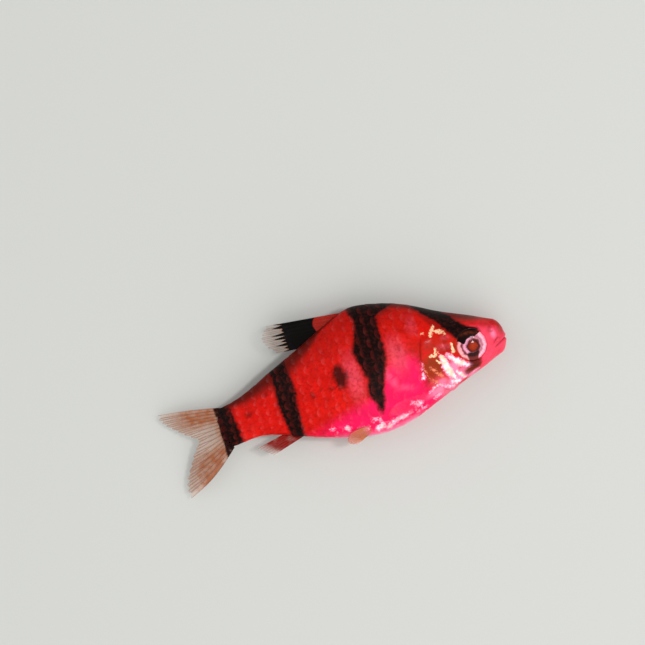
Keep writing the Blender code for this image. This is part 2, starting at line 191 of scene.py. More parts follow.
def select_only(obj: bpy.types.Object) -> None:
    """Deselects everything and makes obj the one selected and active object."""
    bpy.ops.object.select_all(action="DESELECT")
    obj.select_set(True)
    bpy.context.view_layer.objects.active = obj


def read(items: Sequence, name: str, width: int = 3, kind: type = float) -> Array:
    """One property of all the items, a row to each."""
    flat = np.empty(len(items) * width, kind)
    items.foreach_get(name, flat)
    return flat.reshape(-1, width)


def coordinates(obj: bpy.types.Object) -> Array:
    """The object's vertices as an array of points."""
    return read(obj.data.vertices, "co")


def corner_vertices(obj: bpy.types.Object) -> Array:
    """The number of the vertex at each corner of the object's faces."""
    return read(obj.data.loops, "vertex_index", 1, int)[:, 0]


def move_vertices(obj: bpy.types.Object, points: Array) -> None:
    """Puts the object's vertices at new points."""
    obj.data.vertices.foreach_set("co", np.asarray(points, float).ravel())
    obj.data.update()


def face_outwards(obj: bpy.types.Object) -> None:
    """Points the faces of a closed mesh outwards and shades it smooth."""
    select_only(obj)
    edit(bpy.ops.mesh.normals_make_consistent, inside=False)
    bpy.ops.object.shade_smooth()


def add_wall(obj: bpy.types.Object, thickness: float, offset: float, group: str = "") -> None:
    """Gives a sheet its wall.

    Args:
        obj: The sheet, which becomes a closed mesh.
        thickness: The wall at full weight.
        offset: -1 for a wall inside the sheet, and 0 for one on both its faces.
        group: The vertex group with the wall's share at each vertex.
    """
    select_only(obj)
    wall = obj.modifiers.new("wall", "SOLIDIFY")
    wall.thickness = thickness
    wall.offset = offset
    wall.vertex_group = group
    bpy.ops.object.modifier_apply(modifier=wall.name)


def settle(obj: bpy.types.Object, name: str, material: bpy.types.Material, nodes: Sequence[str]) -> None:
    """Names and dresses a finished piece, and sets it on the body in place of its nodes.

    Args:
        obj: The piece, at the origin, with its place in its mesh.
        name: The piece's name.
        material: Its finish.
        nodes: The solids that it stands for.
    """
    obj.name = name
    obj.data.name = name
    obj.data.materials.clear()
    obj.data.materials.append(material)
    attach(obj, BODY)
    if nodes:
        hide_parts(*nodes)
    LOG.info("%s: %d faces", name, len(obj.data.polygons))


def write_colours(obj: bpy.types.Object, name: str, values: Array) -> None:
    """Stores four numbers at each vertex, which the finishes read by name."""
    layer = obj.data.color_attributes.new(name=name, type="FLOAT_COLOR", domain="POINT")
    layer.data.foreach_set("color", np.asarray(values, float).ravel())


@dataclass(frozen=True)
class BodyForm:
    """The fish's body as sections along its length, with the solids' own sizes."""

    length: float = 40 * MM
    half_width: float = 3.84 * MM
    flattened: float = 0.22 * MM
    tail_droop: float = 3.0 * MM
    droop_start: float = 0.52
    droop_over: float = 0.70
    stations: Rows = (
        (0.00, 0.055, -0.034, 0.37), (0.05, 0.078, -0.051, 0.51), (0.10, 0.103, -0.070, 0.66),
        (0.20, 0.149, -0.106, 0.85), (0.30, 0.204, -0.145, 0.95), (0.38, 0.232, -0.173, 1.00),
        (0.48, 0.247, -0.187, 0.99), (0.58, 0.212, -0.172, 0.86), (0.70, 0.159, -0.136, 0.64),
        (0.80, 0.117, -0.098, 0.46), (0.88, 0.081, -0.077, 0.36), (0.95, 0.059, -0.081, 0.29),
        (1.04, 0.050, -0.091, 0.20),
    )
    snout_tip: float = 0.009
    snout_rounding: float = 0.028
    snout_bluntness: float = 2.35
    tail_end: float = 1.008
    tail_rounding: float = 0.020
    axis_rise: float = 0.030
    back_narrowing: float = 1.22
    belly_fullness: float = 0.92
    root_thins_from: float = 0.955
    root_thins_over: float = 0.050
    root_thinness: float = 0.34
    eye: Pair = (0.127, 0.009)
    floor_softness: float = 0.10 * MM
    floor_gap: float = 0.06 * MM

    @property
    def origin(self) -> Pair:
        """Where u and v are 0 in the frame, found from the solid of the right eye."""
        low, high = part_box("eye_right")
        middle = (low + high) / 2
        return middle.x + self.eye[0] * self.length, middle.y - self.eye[1] * self.length

    @property
    def middle_height(self) -> float:
        """The height of the middle plane above the floor, ahead of the droop."""
        return self.half_width - self.flattened

    def middle(self, u: Array) -> Array:
        """The height of the middle plane at u, which droops towards the tail."""
        behind = np.maximum(0.0, (u - self.droop_start) / self.droop_over)
        return self.middle_height - self.tail_droop * behind**2

    def station(self, u: Array, column: int) -> Array:
        """One column of the stations at u, on the smooth curve through them."""
        table = np.array(self.stations)
        x, y = table[:, 0], table[:, column]
        before, after = np.r_[0, 0 : len(x) - 1], np.r_[1 : len(x), len(x) - 1]
        slopes = (y[after] - y[before]) / (x[after] - x[before])
        u = np.clip(u, x[0], x[-1])
        span = np.clip(np.searchsorted(x, u, side="left") - 1, 0, len(x) - 2)
        width = x[span + 1] - x[span]
        t = (u - x[span]) / width
        return (
            (2 * t**3 - 3 * t**2 + 1) * y[span]
            + (t**3 - 2 * t**2 + t) * width * slopes[span]
            + (3 * t**2 - 2 * t**3) * y[span + 1]
            + (t**3 - t**2) * width * slopes[span + 1]
        )

    def axis(self, u: Array) -> Array:
        """The v at which the body is widest."""
        middle = (self.station(u, 1) + self.station(u, 2)) / 2
        return middle + self.axis_rise * ramp(u, 0.75, 0.25) * smooth(u / 0.3)

    def rounding(self, u: Array) -> Array:
        """The share of the full section that is left near the two ends."""
        to_snout = np.clip((u - self.snout_tip) / self.snout_rounding, 0, 1)
        to_tail = np.clip((self.tail_end - u) / self.tail_rounding, 0, 1)
        blunt = self.snout_bluntness
        return (1 - (1 - to_snout) ** blunt) ** (1 / blunt) * np.sqrt(1 - (1 - to_tail) ** 2)

    def half(self, u: Array) -> Array:
        """Half the body's greatest width at u, thinned where the tail fin grows out of it."""
        thinned = mix(1.0, self.root_thinness, smooth((u - self.root_thins_from) / self.root_thins_over))
        return self.half_width * self.station(u, 3) * self.rounding(u) * thinned

    def edge(self, u: Array, upper: Array) -> tuple[Array, Array]:
        """The v of the back or the belly at u, and how fast the body narrows towards it."""
        return (np.where(upper, self.station(u, 1), self.station(u, 2)),
                np.where(upper, self.back_narrowing, self.belly_fullness))

    def section(self, u: Array, angle: Array) -> tuple[Array, Array]:
        """The v and the lateral distance of the skin at u, at an angle from the side to the back."""
        level = self.axis(u)
        edge, power = self.edge(u, np.sin(angle) > 0)
        v = level + np.abs(edge - level) * self.rounding(u) * np.sin(angle)
        lateral = np.sign(np.cos(angle)) * np.abs(np.cos(angle)) ** power * self.half(u)
        return v, lateral

    def flank(self, u: Array, v: Array) -> Array:
        """Half the body's width at u and v."""
        level = self.axis(u)
        edge, power = self.edge(u, v > level)
        full = np.maximum(0.05, self.rounding(u))
        rise = np.minimum(0.999, np.abs(v - level) / (np.abs(edge - level) * full))
        return self.half(u) * np.sqrt(1 - rise * rise) ** power

    def place(self, u: Array, v: Array, lateral: Array) -> Array:
        """Points of the frame at u, v and a lateral distance.

        Args:
            u: Shares of the length, back from the snout.
            v: Shares of the length, towards the back.
            lateral: Distances to the right of the middle plane.

        Returns:
            One point in a row.
        """
        x0, y0 = self.origin
        u, v, height = np.broadcast_arrays(u, v, self.middle(u) + lateral)
        return np.stack([x0 - u * self.length, y0 + v * self.length, height], axis=-1)

    def shares(self, points: Array) -> tuple[Array, Array]:
        """The u and v of points in the frame."""
        x0, y0 = self.origin
        return (x0 - points[:, 0]) / self.length, (points[:, 1] - y0) / self.length

    def rest_on_floor(self, obj: bpy.types.Object, points: Array, gap: float = FLOOR_GAP) -> None:
        """Moves the object's vertices to the points, and presses flat what would sink below the floor.

        Args:
            obj: The skin, the scales or a fin.
            points: The new place of each vertex.
            gap: The height above the floor at which the piece is pressed flat.
        """
        height = points[:, 2] - gap
        soft = self.floor_softness
        pressed = 0.5 * (height + np.sqrt(height**2 + soft**2)) - 0.5 * soft
        lifted = points.copy()
        lifted[:, 2] = gap + np.maximum(0.0, np.where(height < 8 * soft, pressed, height))
        move_vertices(obj, lifted)


FORM = BodyForm()


@dataclass(frozen=True)
class Bar:
    """A black bar: its front and back edges at a few levels of v, in thousandths of the length."""

    levels: tuple[float, ...]
    front: tuple[float, ...]
    back: tuple[float, ...]

    def depth(self, u: Array, v: Array) -> Array:
        """How far inside the bar each point lies, in metres, negative outside it."""
        levels, front, back = (np.array(column) / MILLE for column in (self.levels, self.front, self.back))
        inside = np.minimum(u - np.interp(v, levels, front), np.interp(v, levels, back) - u)
        return np.minimum(inside, np.minimum(v - levels[0], levels[-1] - v)) * FORM.length


@dataclass(frozen=True)
class Patches:
    """Round patches of colour with soft edges.

    A row is one patch: the u and v of its middle and its two radii in thousandths of the length, its
    tilt in degrees, the softness of its edge and its strength.
    """

    rows: Rows

    def cover(self, u: Array, v: Array) -> Array:
        """How strongly the patches cover each point, from 0 to 1."""
        covers = []
        for middle_u, middle_v, long, short, tilt, softness, strength in self.rows:
            cosine, sine = math.cos(math.radians(tilt)), math.sin(math.radians(tilt))
            du, dv = u * MILLE - middle_u, v * MILLE - middle_v
            away = np.hypot((du * cosine + dv * sine) / long, (dv * cosine - du * sine) / short)
            covers.append(strength * ramp(away, 1 + softness, 1 - softness))
        return np.maximum.reduce(covers)


@dataclass(frozen=True)
class Flecks:
    """Flecks of shining pigment, with one painted highlight among the silver ones.

    A row is one fleck: points with their u, their v and half the width there, in thousandths.
    """

    rows: Rows
    softness: float = 0.5 * MM

    def cover(self, u: Array, v: Array) -> Array:
        """0.5 on the edge of a fleck, 1 deep inside it and 0 well away from it."""
        deepest = np.full(np.shape(u), -np.inf)
        u, v = u * MILLE, v * MILLE
        for points in self.rows:
            for (u0, v0, half0), (u1, v1, half1) in zip(points, points[1:] or points):
                run = max(MM, (u1 - u0) ** 2 + (v1 - v0) ** 2)
                share = np.clip(((u - u0) * (u1 - u0) + (v - v0) * (v1 - v0)) / run, 0, 1)
                away = np.hypot(u - mix(u0, u1, share), v - mix(v0, v1, share))
                deepest = np.maximum(deepest, mix(half0, half1, share) - away)
        return np.clip(0.5 + deepest / MILLE * FORM.length / (2 * self.softness), 0, 1)


@dataclass(frozen=True)
class Markings:
    """Where each colour lies, as the same fields of u and v for the skin and the scales."""

    eye_bar: Bar = Bar(
        (-46, -40, -35, -20, 30, 45, 55, 63, 70, 80, 100, 125, 150, 190, 240),
        (120, 116, 113, 110, 98, 93, 94, 101, 118, 136, 152, 170, 197, 250, 290),
        (148, 148, 148, 147, 160, 172, 180, 184, 188, 195, 207, 226, 249, 284, 320),
    )
    saddle_bar: Bar = Bar(
        (-118, -100, -80, -50, 0, 20, 50, 100, 150, 196, 206, 214, 222, 270),
        (470, 462, 453, 450, 431, 425, 410, 406, 406, 402, 375, 345, 325, 300),
        (478, 484, 484, 500, 487, 492, 500, 511, 490, 476, 478, 482, 486, 492),
    )
    third_bar: Bar = Bar(
        (-160, -125, -100, -50, 0, 50, 100, 140, 180),
        (740, 740, 742, 737, 733, 728, 732, 734, 730),
        (770, 777, 784, 790, 796, 792, 793, 796, 800),
    )
    tail_bar: Bar = Bar(
        (-120, -85, -30, 20, 55, 90),
        (940, 941, 944, 951, 957, 960),
        (1012, 1012, 1014, 1014, 1012, 1008),
    )
    spots: Patches = Patches((
        (573, 37, 24.5, 43, 0, 0.42, 1), (134, -50, 22, 19, -20, 0.5, 0.76),
        (156, -69, 25, 9, -22, 0.6, 0.62), (830, 50, 12, 11, 0, 0.5, 0.5), (611, 8, 11, 14, 0, 0.5, 0.5),
        (676, 5, 12, 14, 0, 0.5, 0.62), (640, 14, 10, 13, 0, 0.5, 0.44), (650, 45, 10, 11, 0, 0.5, 0.4),
        (898, 4, 15, 11, 0, 0.5, 0.56),
    ))
    brown: Patches = Patches((
        (270, -24, 36, 42, 6, 0.6, 0.94), (250, -18, 10, 28, 0, 0.6, 1), (285, -58, 12, 26, 30, 0.6, 0.5),
        (149, -61, 37, 19, -22, 0.5, 1), (184, 24, 6, 22, 0, 0.6, 0.6), (228, 46, 60, 36, 0, 0.7, 0.34),
        (298, 10, 14, 50, 6, 0.8, 0.34), (122, 93, 44, 18, 26, 0.8, 0.3), (50, 76, 26, 12, 30, 0.8, 0.34),
        (20, 40, 13, 28, 0, 0.8, 0.5),
    ))
    # Dusky patches: darker red that is partly the skin's own and partly painted shade, behind the eye bar
    # and along the gill cover's free edge.
    dusk_and_shade: Patches = Patches((
        (372, 212, 44, 22, -20, 0.7, 0.8), (352, 182, 5, 18, 0, 0.6, 0.65),
        (234, 120, 55, 10, 53, 0.8, 0.6), (60, 84, 40, 8, 28, 0.9, 0.5), (14, 40, 11, 28, 0, 0.9, 0.46),
        (32, 4, 30, 45, 0, 0.9, 0.18), (56, 43, 10, 15, 20, 0.8, 0.36), (70, 62, 18, 10, 28, 0.8, 0.26),
        (20, 46, 8, 18, 10, 0.8, 0.46), (36, 60, 12, 8, 30, 0.8, 0.36), (300, -45, 5, 45, 10, 0.8, 0.45),
        (262, 56, 42, 32, 0, 0.9, 0.26), (214, 20, 30, 12, 0, 0.8, 0.42), (215, 70, 14, 30, 0, 0.8, 0.34),
    ))
    rosy: Patches = Patches((
        (530, 20, 26, 70, 0, 0.8, 1), (375, 50, 30, 55, 0, 0.8, 1), (262, -70, 34, 22, -14, 0.6, 1),
        (218, 30, 24, 10, 10, 0.7, 1), (205, 58, 14, 8, 10, 0.7, 1), (300, 130, 12, 30, 0, 0.8, 0.7),
    ))
    # Pearly patches: the cheek's own pearly pigment, and painted highlights on the nostril's rim and on the
    # flank ahead of the saddle bar.
    pearl_and_highlight: Patches = Patches((
        (203, -44, 14, 24, 14, 0.6, 1), (205, -83, 34, 13, -12, 0.6, 1),
        (268, -101, 42, 11, -16, 0.6, 0.8), (150, -81, 22, 7, -22, 0.6, 0.7),
        # Painted highlight on the nostril's rim: the patch at 48, 23.
        (48, 23, 8, 13, 0, 0.8, 0.75), (254, -78, 18, 10, 0, 0.6, 0.6), (180, -60, 15, 9, -20, 0.7, 0.6),
        # Painted highlights on the flank: the patches at 413, -22 and at 380, -60.
        (236, -112, 40, 12, -14, 0.7, 0.5), (413, -22, 7, 34, -14, 0.8, 0.32),
        (380, -60, 30, 8, 20, 0.9, 0.2),
    ))
    silver_and_highlight: Flecks = Flecks((
        ((200, -16, 7), (190, -28, 12.5), (178, -38, 12.5), (162, -47, 9), (148, -50, 5.5)),
        ((236, 3, 7), (230, -14, 12), (228, -32, 14), (223, -50, 14), (216, -67, 13), (210, -80, 8)),
        ((214, 0, 7), (204, -8, 8.5), (198, -16, 6)), ((199, -60, 6), (188, -73, 9.5), (176, -87, 6.5)),
        ((222, -88, 6.5), (208, -91, 10.5), (194, -94, 6.5)),
        ((280, -82, 3), (262, -88, 4.2), (243, -96, 4.2), (222, -102, 4.5), (200, -102, 3.5)),
        ((306, -103, 3), (292, -94, 4.2), (282, -87, 3)),
        ((292, -124, 3.5), (278, -118, 4.2), (262, -113, 3)),
        ((158, -86, 2), (143, -78, 3.8), (126, -72, 2.8)),
        # Painted highlight: the pale stroke just behind the gill cover.
        ((303, 0, 1.5), (308, -26, 2.8), (311, -40, 5), (311, -48, 8)),
        ((603, -127, 6), (595, -138, 9.5)), ((656, -124, 4.5), (640, -122, 5)),
        ((560, -150, 6), (545, -156, 7.5), (530, -154, 4.5)),
        ((504, -167, 8.5), (489, -160, 11), (480, -153, 6.5)),
        ((467, -170, 8), (455, -161, 7), (448, -164, 5)), ((508, -131, 6), (491, -138, 7)),
        ((440, -158, 7), (426, -152, 7)), ((408, -152, 7.5), (393, -147, 6)),
        ((368, -116, 6), (356, -127, 7.5)), ((338, -145, 7.5), (324, -149, 6)),
        ((348, -128, 9), (338, -122, 6.5)),
    ))
    gold: Flecks = Flecks((
        ((250, 78, 5), (240, 92, 5.5), (231, 105, 4)), ((229, 86, 5), (216, 83, 6), (205, 80, 3.5)),
        ((204, 71, 4),), ((192, 34, 3.2), (190.5, 18, 3.2), (193, 6, 5.2)),
        ((249, 33, 4), (251, 20, 4.5)), ((272, 13, 3), (256, 11, 5), (243, 16, 4)),
        ((253, -6, 3), (244, -16, 5.5)), ((234, 2, 6), (228, -10, 5)), ((276, 94, 2.4), (270, 91, 2.4)),
    ))
    orange: Flecks = Flecks((
        ((277, -25, 5), (268, -36, 6.5)), ((263, -48, 4.5), (250, -60, 6.5)),
        ((288, -60, 3.5), (272, -76, 4.5)), ((304, 6, 2), (301, -20, 3.5), (298, -45, 3)),
    ))
    pink_top: Rows = (
        (0.24, 0.32, 0.36, 0.42, 0.45, 0.50, 0.65, 0.80),
        (0.00, 0.03, 0.05, 0.02, -0.04, -0.06, -0.10, -0.13),
    )
    # How deep the dark band along the back reaches at each u; the band is partly the back's own pigment and
    # partly painted shade under the dorsal fin.
    dark_depth: Rows = (
        (0.06, 0.14, 0.24, 0.30, 0.46, 0.50, 0.58, 0.66, 0.72, 0.80, 0.86, 0.95),
        (0.010, 0.026, 0.022, 0.020, 0.022, 0.003, 0.006, 0.046, 0.062, 0.056, 0.042, 0.020),
    )
    weak_bar: float = 0.22 * MM
    bar_range: float = 1.0 * MM

    def black(self, u: Array, v: Array) -> Array:
        """The four bars: 0.5 on their edges and 1 deep inside, weaker on cheek and tail."""
        cheek = ramp(v, -0.029, -0.039)
        depths = [
            self.saddle_bar.depth(u, v), self.third_bar.depth(u, v),
            np.minimum(self.eye_bar.depth(u, v), mix(self.bar_range, 0.6 * self.weak_bar, cheek)),
            np.minimum(self.tail_bar.depth(u, v), 1.4 * self.weak_bar),
        ]
        return np.clip(0.5 + np.maximum.reduce(depths) / (2 * self.bar_range), 0, 1)

    def pink(self, u: Array, v: Array) -> Array:
        """The belly's glowing pink, which starts behind the gill cover and fades on the stalk."""
        top = np.interp(u, *self.pink_top)
        front = 0.290 - 0.9 * np.maximum(0.0, -0.075 - v)
        fading = mix(1.0, 0.55, ramp(u, 0.60, 0.70))
        return smooth((top + 0.022 - v) / 0.055) * smooth((u - front) / 0.028) * fading

    def dark(self, u: Array, v: Array) -> Array:
        """The darker back, partly pigment and partly painted shade; the dusky patches, partly painted shade;
        and the painted shade in the mouth, the nostril and the gill slit.
        """
        head = Skin()
        mouth_u, nostril = head.mouth_corner[0], head.nostril
        # Painted shade: in the line of the mouth, in the nostril's pit and along the gill slit.
        line = bump(v - head.mouth_level(u), 0.0026) * smooth((mouth_u + 0.008 - u) / 0.012)
        pit = bump(np.hypot(u - nostril[0], v - nostril[1]), 0.0048)
        slit = bump(u - head.gill_edge(v) - 0.004, 0.0045) * ramp(v, -0.10, -0.08) * ramp(v, 0.08, 0.06)
        back_depth = (FORM.station(u, 1) - v) / np.interp(u, *self.dark_depth)
        return np.maximum.reduce([
            # A band along the back: partly the back's darker pigment, partly painted shade under the dorsal
            # fin.
            smooth(1.35 - back_depth) * ramp(u, 0.03, 0.11),
            # Painted shade: the flank grows darker towards the back.
            0.22 * ramp(v, 0.05, 0.19) * ramp(u, 0.20, 0.30),
            self.dusk_and_shade.cover(u, v), 0.62 * line, 0.60 * pit, 0.45 * slit,
        ])

    def store(self, obj: bpy.types.Object, points: Array) -> None:
        """Writes the fields to a mesh, where its finish reads them.

        Args:
            obj: The skin, the scales or a feeler.
            points: The place on the body that each vertex takes its colours from.
        """
        u, v = FORM.shares(points)
        spots, brown, rosy, pearl_and_highlight, silver_and_highlight, gold, orange = (
            marks.cover(u, v)
            for marks in (self.spots, self.brown, self.rosy, self.pearl_and_highlight, self.silver_and_highlight, self.gold, self.orange)
        )
        head = ramp(u, 0.185, 0.085) * mix(1.0, 0.15, ramp(v / FORM.station(u, 1), 0.48, 0.78))
        orbit = np.hypot(u - FORM.eye[0], v - FORM.eye[1])
        brown = np.maximum(brown, 0.6 * bump(orbit - 0.0555, 0.0030) * ramp(u, 0.128, 0.148))
        up = v - FORM.station(u, 2)
        keel = ramp(up, 0.044, 0.0) * ramp(u, 0.68, 0.60) * ramp(u, 0.26, 0.31)
        # Painted light: a pale band along the belly's lower edge, which brightens the belly where it turns
        # down into shade.
        edge = ramp(up, 0.022, 0.0) * ramp(u, 0.33, 0.38) * ramp(u, 0.66, 0.58)
        for name, fields in (
            ("marks_a", (self.black(u, v), spots, brown, silver_and_highlight * ramp(up, 0.0, 0.012))),
            ("marks_b", (self.pink(u, v), head, self.dark(u, v), keel)),
            ("marks_c", (gold, orange, rosy, np.maximum(pearl_and_highlight, 0.70 * edge))),
        ):
            write_colours(obj, name, np.stack(fields, axis=-1))


MARKINGS = Markings()


@dataclass(frozen=True)
class FishFinish:
    """Living skin, wet with a thin film of mucus: deep saturated colour under a clear gloss.

    The light that enters it comes out a little further on, which keeps the red soft. Its flecks shine
    a little like metal. The pores are drawn coarser than on a real fish, whose own can't be seen.
    """

    name: str
    red: str = "D8150C"
    deep_red: str = "A80C0A"
    pink: str = "FF1456"
    rose: str = "F2465F"
    rosy: str = "EE5264"
    # Dark red that lays both the back's darker pigment and painted shade.
    dark_back_and_shade: str = "52120A"
    black: str = "120504"
    brown_black: str = "36110C"
    bar_rim: str = "6A0E0A"
    spot: str = "3C0D08"
    brown: str = "8A3010"
    orange: str = "F08260"
    gold: str = "FFD0A2"
    # Silvery white of the flecks, also used for a painted highlight.
    silver_and_highlight: str = "FFEEF0"
    warm_silver: str = "FFCCAC"
    # Pale pearly pink, of the cheek's pearly patches and of painted highlights.
    pearl_and_highlight: str = "FA88AC"
    keel: str = "FFB9C8"
    mottle_mm: float = 1.5
    small_mottle_mm: float = 0.42
    edge_mm: float = 0.40
    fleck_mm: float = 0.20
    blotch_mm: float = 0.75
    pore_mm: float = 0.14
    has_plates: bool = False

    def masks(self, node: Node, noises: dict[str, bpy.types.NodeSocket],
              marks: dict[str, bpy.types.NodeSocket]) -> dict[str, bpy.types.NodeSocket]:
        """Where each tone shows, from the stored markings and the noises that fray their edges.

        Args:
            node: The function that adds a node.
            noises: The noises by name.
            marks: The stored markings by name.

        Returns:
            A share of cover for each tone, by name.
        """
        small, blotch = noises["small"], noises["blotch"]
        uneven = node("Math", (noises["wobble"], 0.5), MINUS)
        made = {"pink": marks["pink"], "head": marks["head"], "pearl_and_highlight": marks["pearl_and_highlight"]}
        for name, factor in (("rosy", 0.65), ("dark", 0.92)):
            made[name] = node("Math", (marks[name], factor), TIMES)
        deep = node("MapRange", (small, 0.46, 0.70, 0.0, 0.55))
        for zone, least in (("pink", 0.25), ("head", 0.30)):
            calm = node("MapRange", (marks[zone], 0.0, 1.0, 1.0, least))
            deep = node("Math", (deep, calm), TIMES)
        made["deep"] = deep
        keel = node("MapRange", (blotch, 0.58, 0.68, 0.0, 0.85))
        made["keel"] = node("Math", (keel, marks["keel"]), TIMES)
        made["warm"] = node("MapRange", (blotch, 0.40, 0.62))
        made["grains"] = node("MapRange", (small, 0.46, 0.72))
        ragged = node("Math", (noises["fleck"], 0.9, uneven), TIMES_PLUS)
        ragged = node("Math", (ragged, 0.45), MINUS)
        rough_bars = node("Math", (uneven, 0.22, marks["bars"]), TIMES_PLUS)
        rough_bars = node("Math", (blotch, 0.30, rough_bars), TIMES_PLUS)
        rough_bars = node("Math", (rough_bars, 0.15), MINUS)
        for name, noise, swing, field, start, full, most in (
            ("brown", uneven, 1.0, marks["brown"], 0.15, 0.92, 0.94),
            ("spot", uneven, 0.5, marks["spot"], 0.20, 0.86, 0.94),
            ("orange", ragged, 0.8, marks["orange"], 0.42, 0.72, 0.95),
            ("halo", ragged, 0.5, marks["silver_and_highlight"], 0.38, 0.54, 0.95),
            ("silver_and_highlight", ragged, 0.6, marks["silver_and_highlight"], 0.54, 0.80, 0.95),
            ("gold", ragged, 0.45, marks["gold"], 0.44, 0.62, 0.95),
        ):
            frayed = node("Math", (noise, swing, field), TIMES_PLUS)
            made[name] = node("MapRange", (frayed, start, full, 0.0, most))
        for name, start, full, most in (("rim", 0.31, 0.52, 0.80), ("ink", 0.47, 0.60, 1.0)):
            made[name] = node("MapRange", (rough_bars, start, full, 0.0, most))
        return made

    def material(self) -> bpy.types.Material:
        """Builds the finish.

        Returns:
            A material that reads the stored markings and Object coordinates.
        """
        made, node = new_finish(self.name)
        place = node("TexCoord", output="Object")
        stored = [node("Attribute", settings={"attribute_name": f"marks_{part}"}) for part in "abc"]
        fields = [field for mark in stored for field in node("SeparateColor", (mark,)).node.outputs]
        fields += [mark.node.outputs["Alpha"] for mark in stored]
        marks = dict(zip(("bars", "spot", "brown", "pink", "head", "dark", "gold", "orange", "rosy",
                          "silver_and_highlight", "keel", "pearl_and_highlight"), fields))
        noises = {
            name: node("TexNoise", {"Vector": place, "Scale": 1 / (size * MM), "Detail": 3.0})
            for name, size in (("mottle", self.mottle_mm), ("small", self.small_mottle_mm),
                               ("wobble", self.edge_mm), ("fleck", self.fleck_mm),
                               ("blotch", self.blotch_mm), ("pores", self.pore_mm))
        }
        mask = self.masks(node, noises, marks)
        shade = node("MapRange", (noises["mottle"], 0.3, 0.7, 0.86, 1.10))
        if self.has_plates:
            tint = node("Attribute", settings={"attribute_name": "plate_tint"}, output="Fac")
            shade = node("Math", (shade, tint), TIMES)
        foil = node("Mix", {0: mask["warm"], 6: self.silver_and_highlight, 7: self.warm_silver}, OVER, 2)
        ink = node("Mix", {0: mask["grains"], 6: self.black, 7: self.brown_black}, OVER, 2)
        under = ((mask["pink"], self.pink), (mask["rosy"], self.rosy), (mask["head"], self.rose),
                 (mask["deep"], self.deep_red))
        over = [(mask["keel"], self.keel), (mask["dark"], self.dark_back_and_shade), (mask["brown"], self.brown),
                (mask["pearl_and_highlight"], self.pearl_and_highlight), (mask["orange"], self.orange), (mask["halo"], self.pearl_and_highlight),
                (mask["silver_and_highlight"], foil), (mask["gold"], self.gold), (mask["spot"], self.spot),
                (mask["rim"], self.bar_rim), (mask["ink"], ink)]
        relief = noises["pores"]
        if self.has_plates:
            plate = node("UVMap", settings={"uv_map": "plate"})
            along = node("SeparateXYZ", (plate,), output=1)
            margin = node("MapRange", (along, 0.74, 0.98))
            warm = node("Math", (margin, node("Math", (mask["ink"], 0.4), TIMES)), TIMES)
            bare = node("MapRange", (mask["ink"], 0.0, 1.0, 0.030, 0.008))
            patchy = node("MapRange", (noises["blotch"], 0.42, 0.62, 0.1))
            pale = node("Math", (node("Math", (margin, bare), TIMES), patchy), TIMES)
            over += [(warm, self.bar_rim), (pale, self.silver_and_highlight)]
            rings = node("TexWave", {"Vector": plate, "Scale": 5.0, "Distortion": 0.6},
                         {"wave_type": "RINGS", "rings_direction": "Z"})
            relief = node("Math", (rings, 0.3, relief), TIMES_PLUS)
        colour = self.red
        for cover, tone in under:
            colour = node("Mix", {0: cover, 6: colour, 7: tone}, OVER, 2)
        colour = node("HueSaturation", {"Value": shade, "Color": colour})
        for cover, tone in over:
            colour = node("Mix", {0: cover, 6: colour, 7: tone}, OVER, 2)
        shining = node("Math", (mask["silver_and_highlight"], mask["gold"]), MOST)
        return finished(made, {
            "Base Color": colour,
            "Normal": node("Bump", {"Strength": 0.20, "Distance": 0.04 * MM, "Height": relief}),
            "Metallic": node("Math", (shining, 0.20), TIMES),
            "Roughness": node("MapRange", (noises["mottle"], 0.3, 0.7, 0.28, 0.42)),
            "IOR": SKIN_IOR, "Specular IOR Level": 0.06,
            "Coat Weight": 0.08, "Coat IOR": WATER_IOR, "Coat Roughness": 0.12,
            "Subsurface Weight": 0.10, "Subsurface Radius": (1.0, 0.25, 0.20),
            "Subsurface Scale": 0.4 * MM,
        })


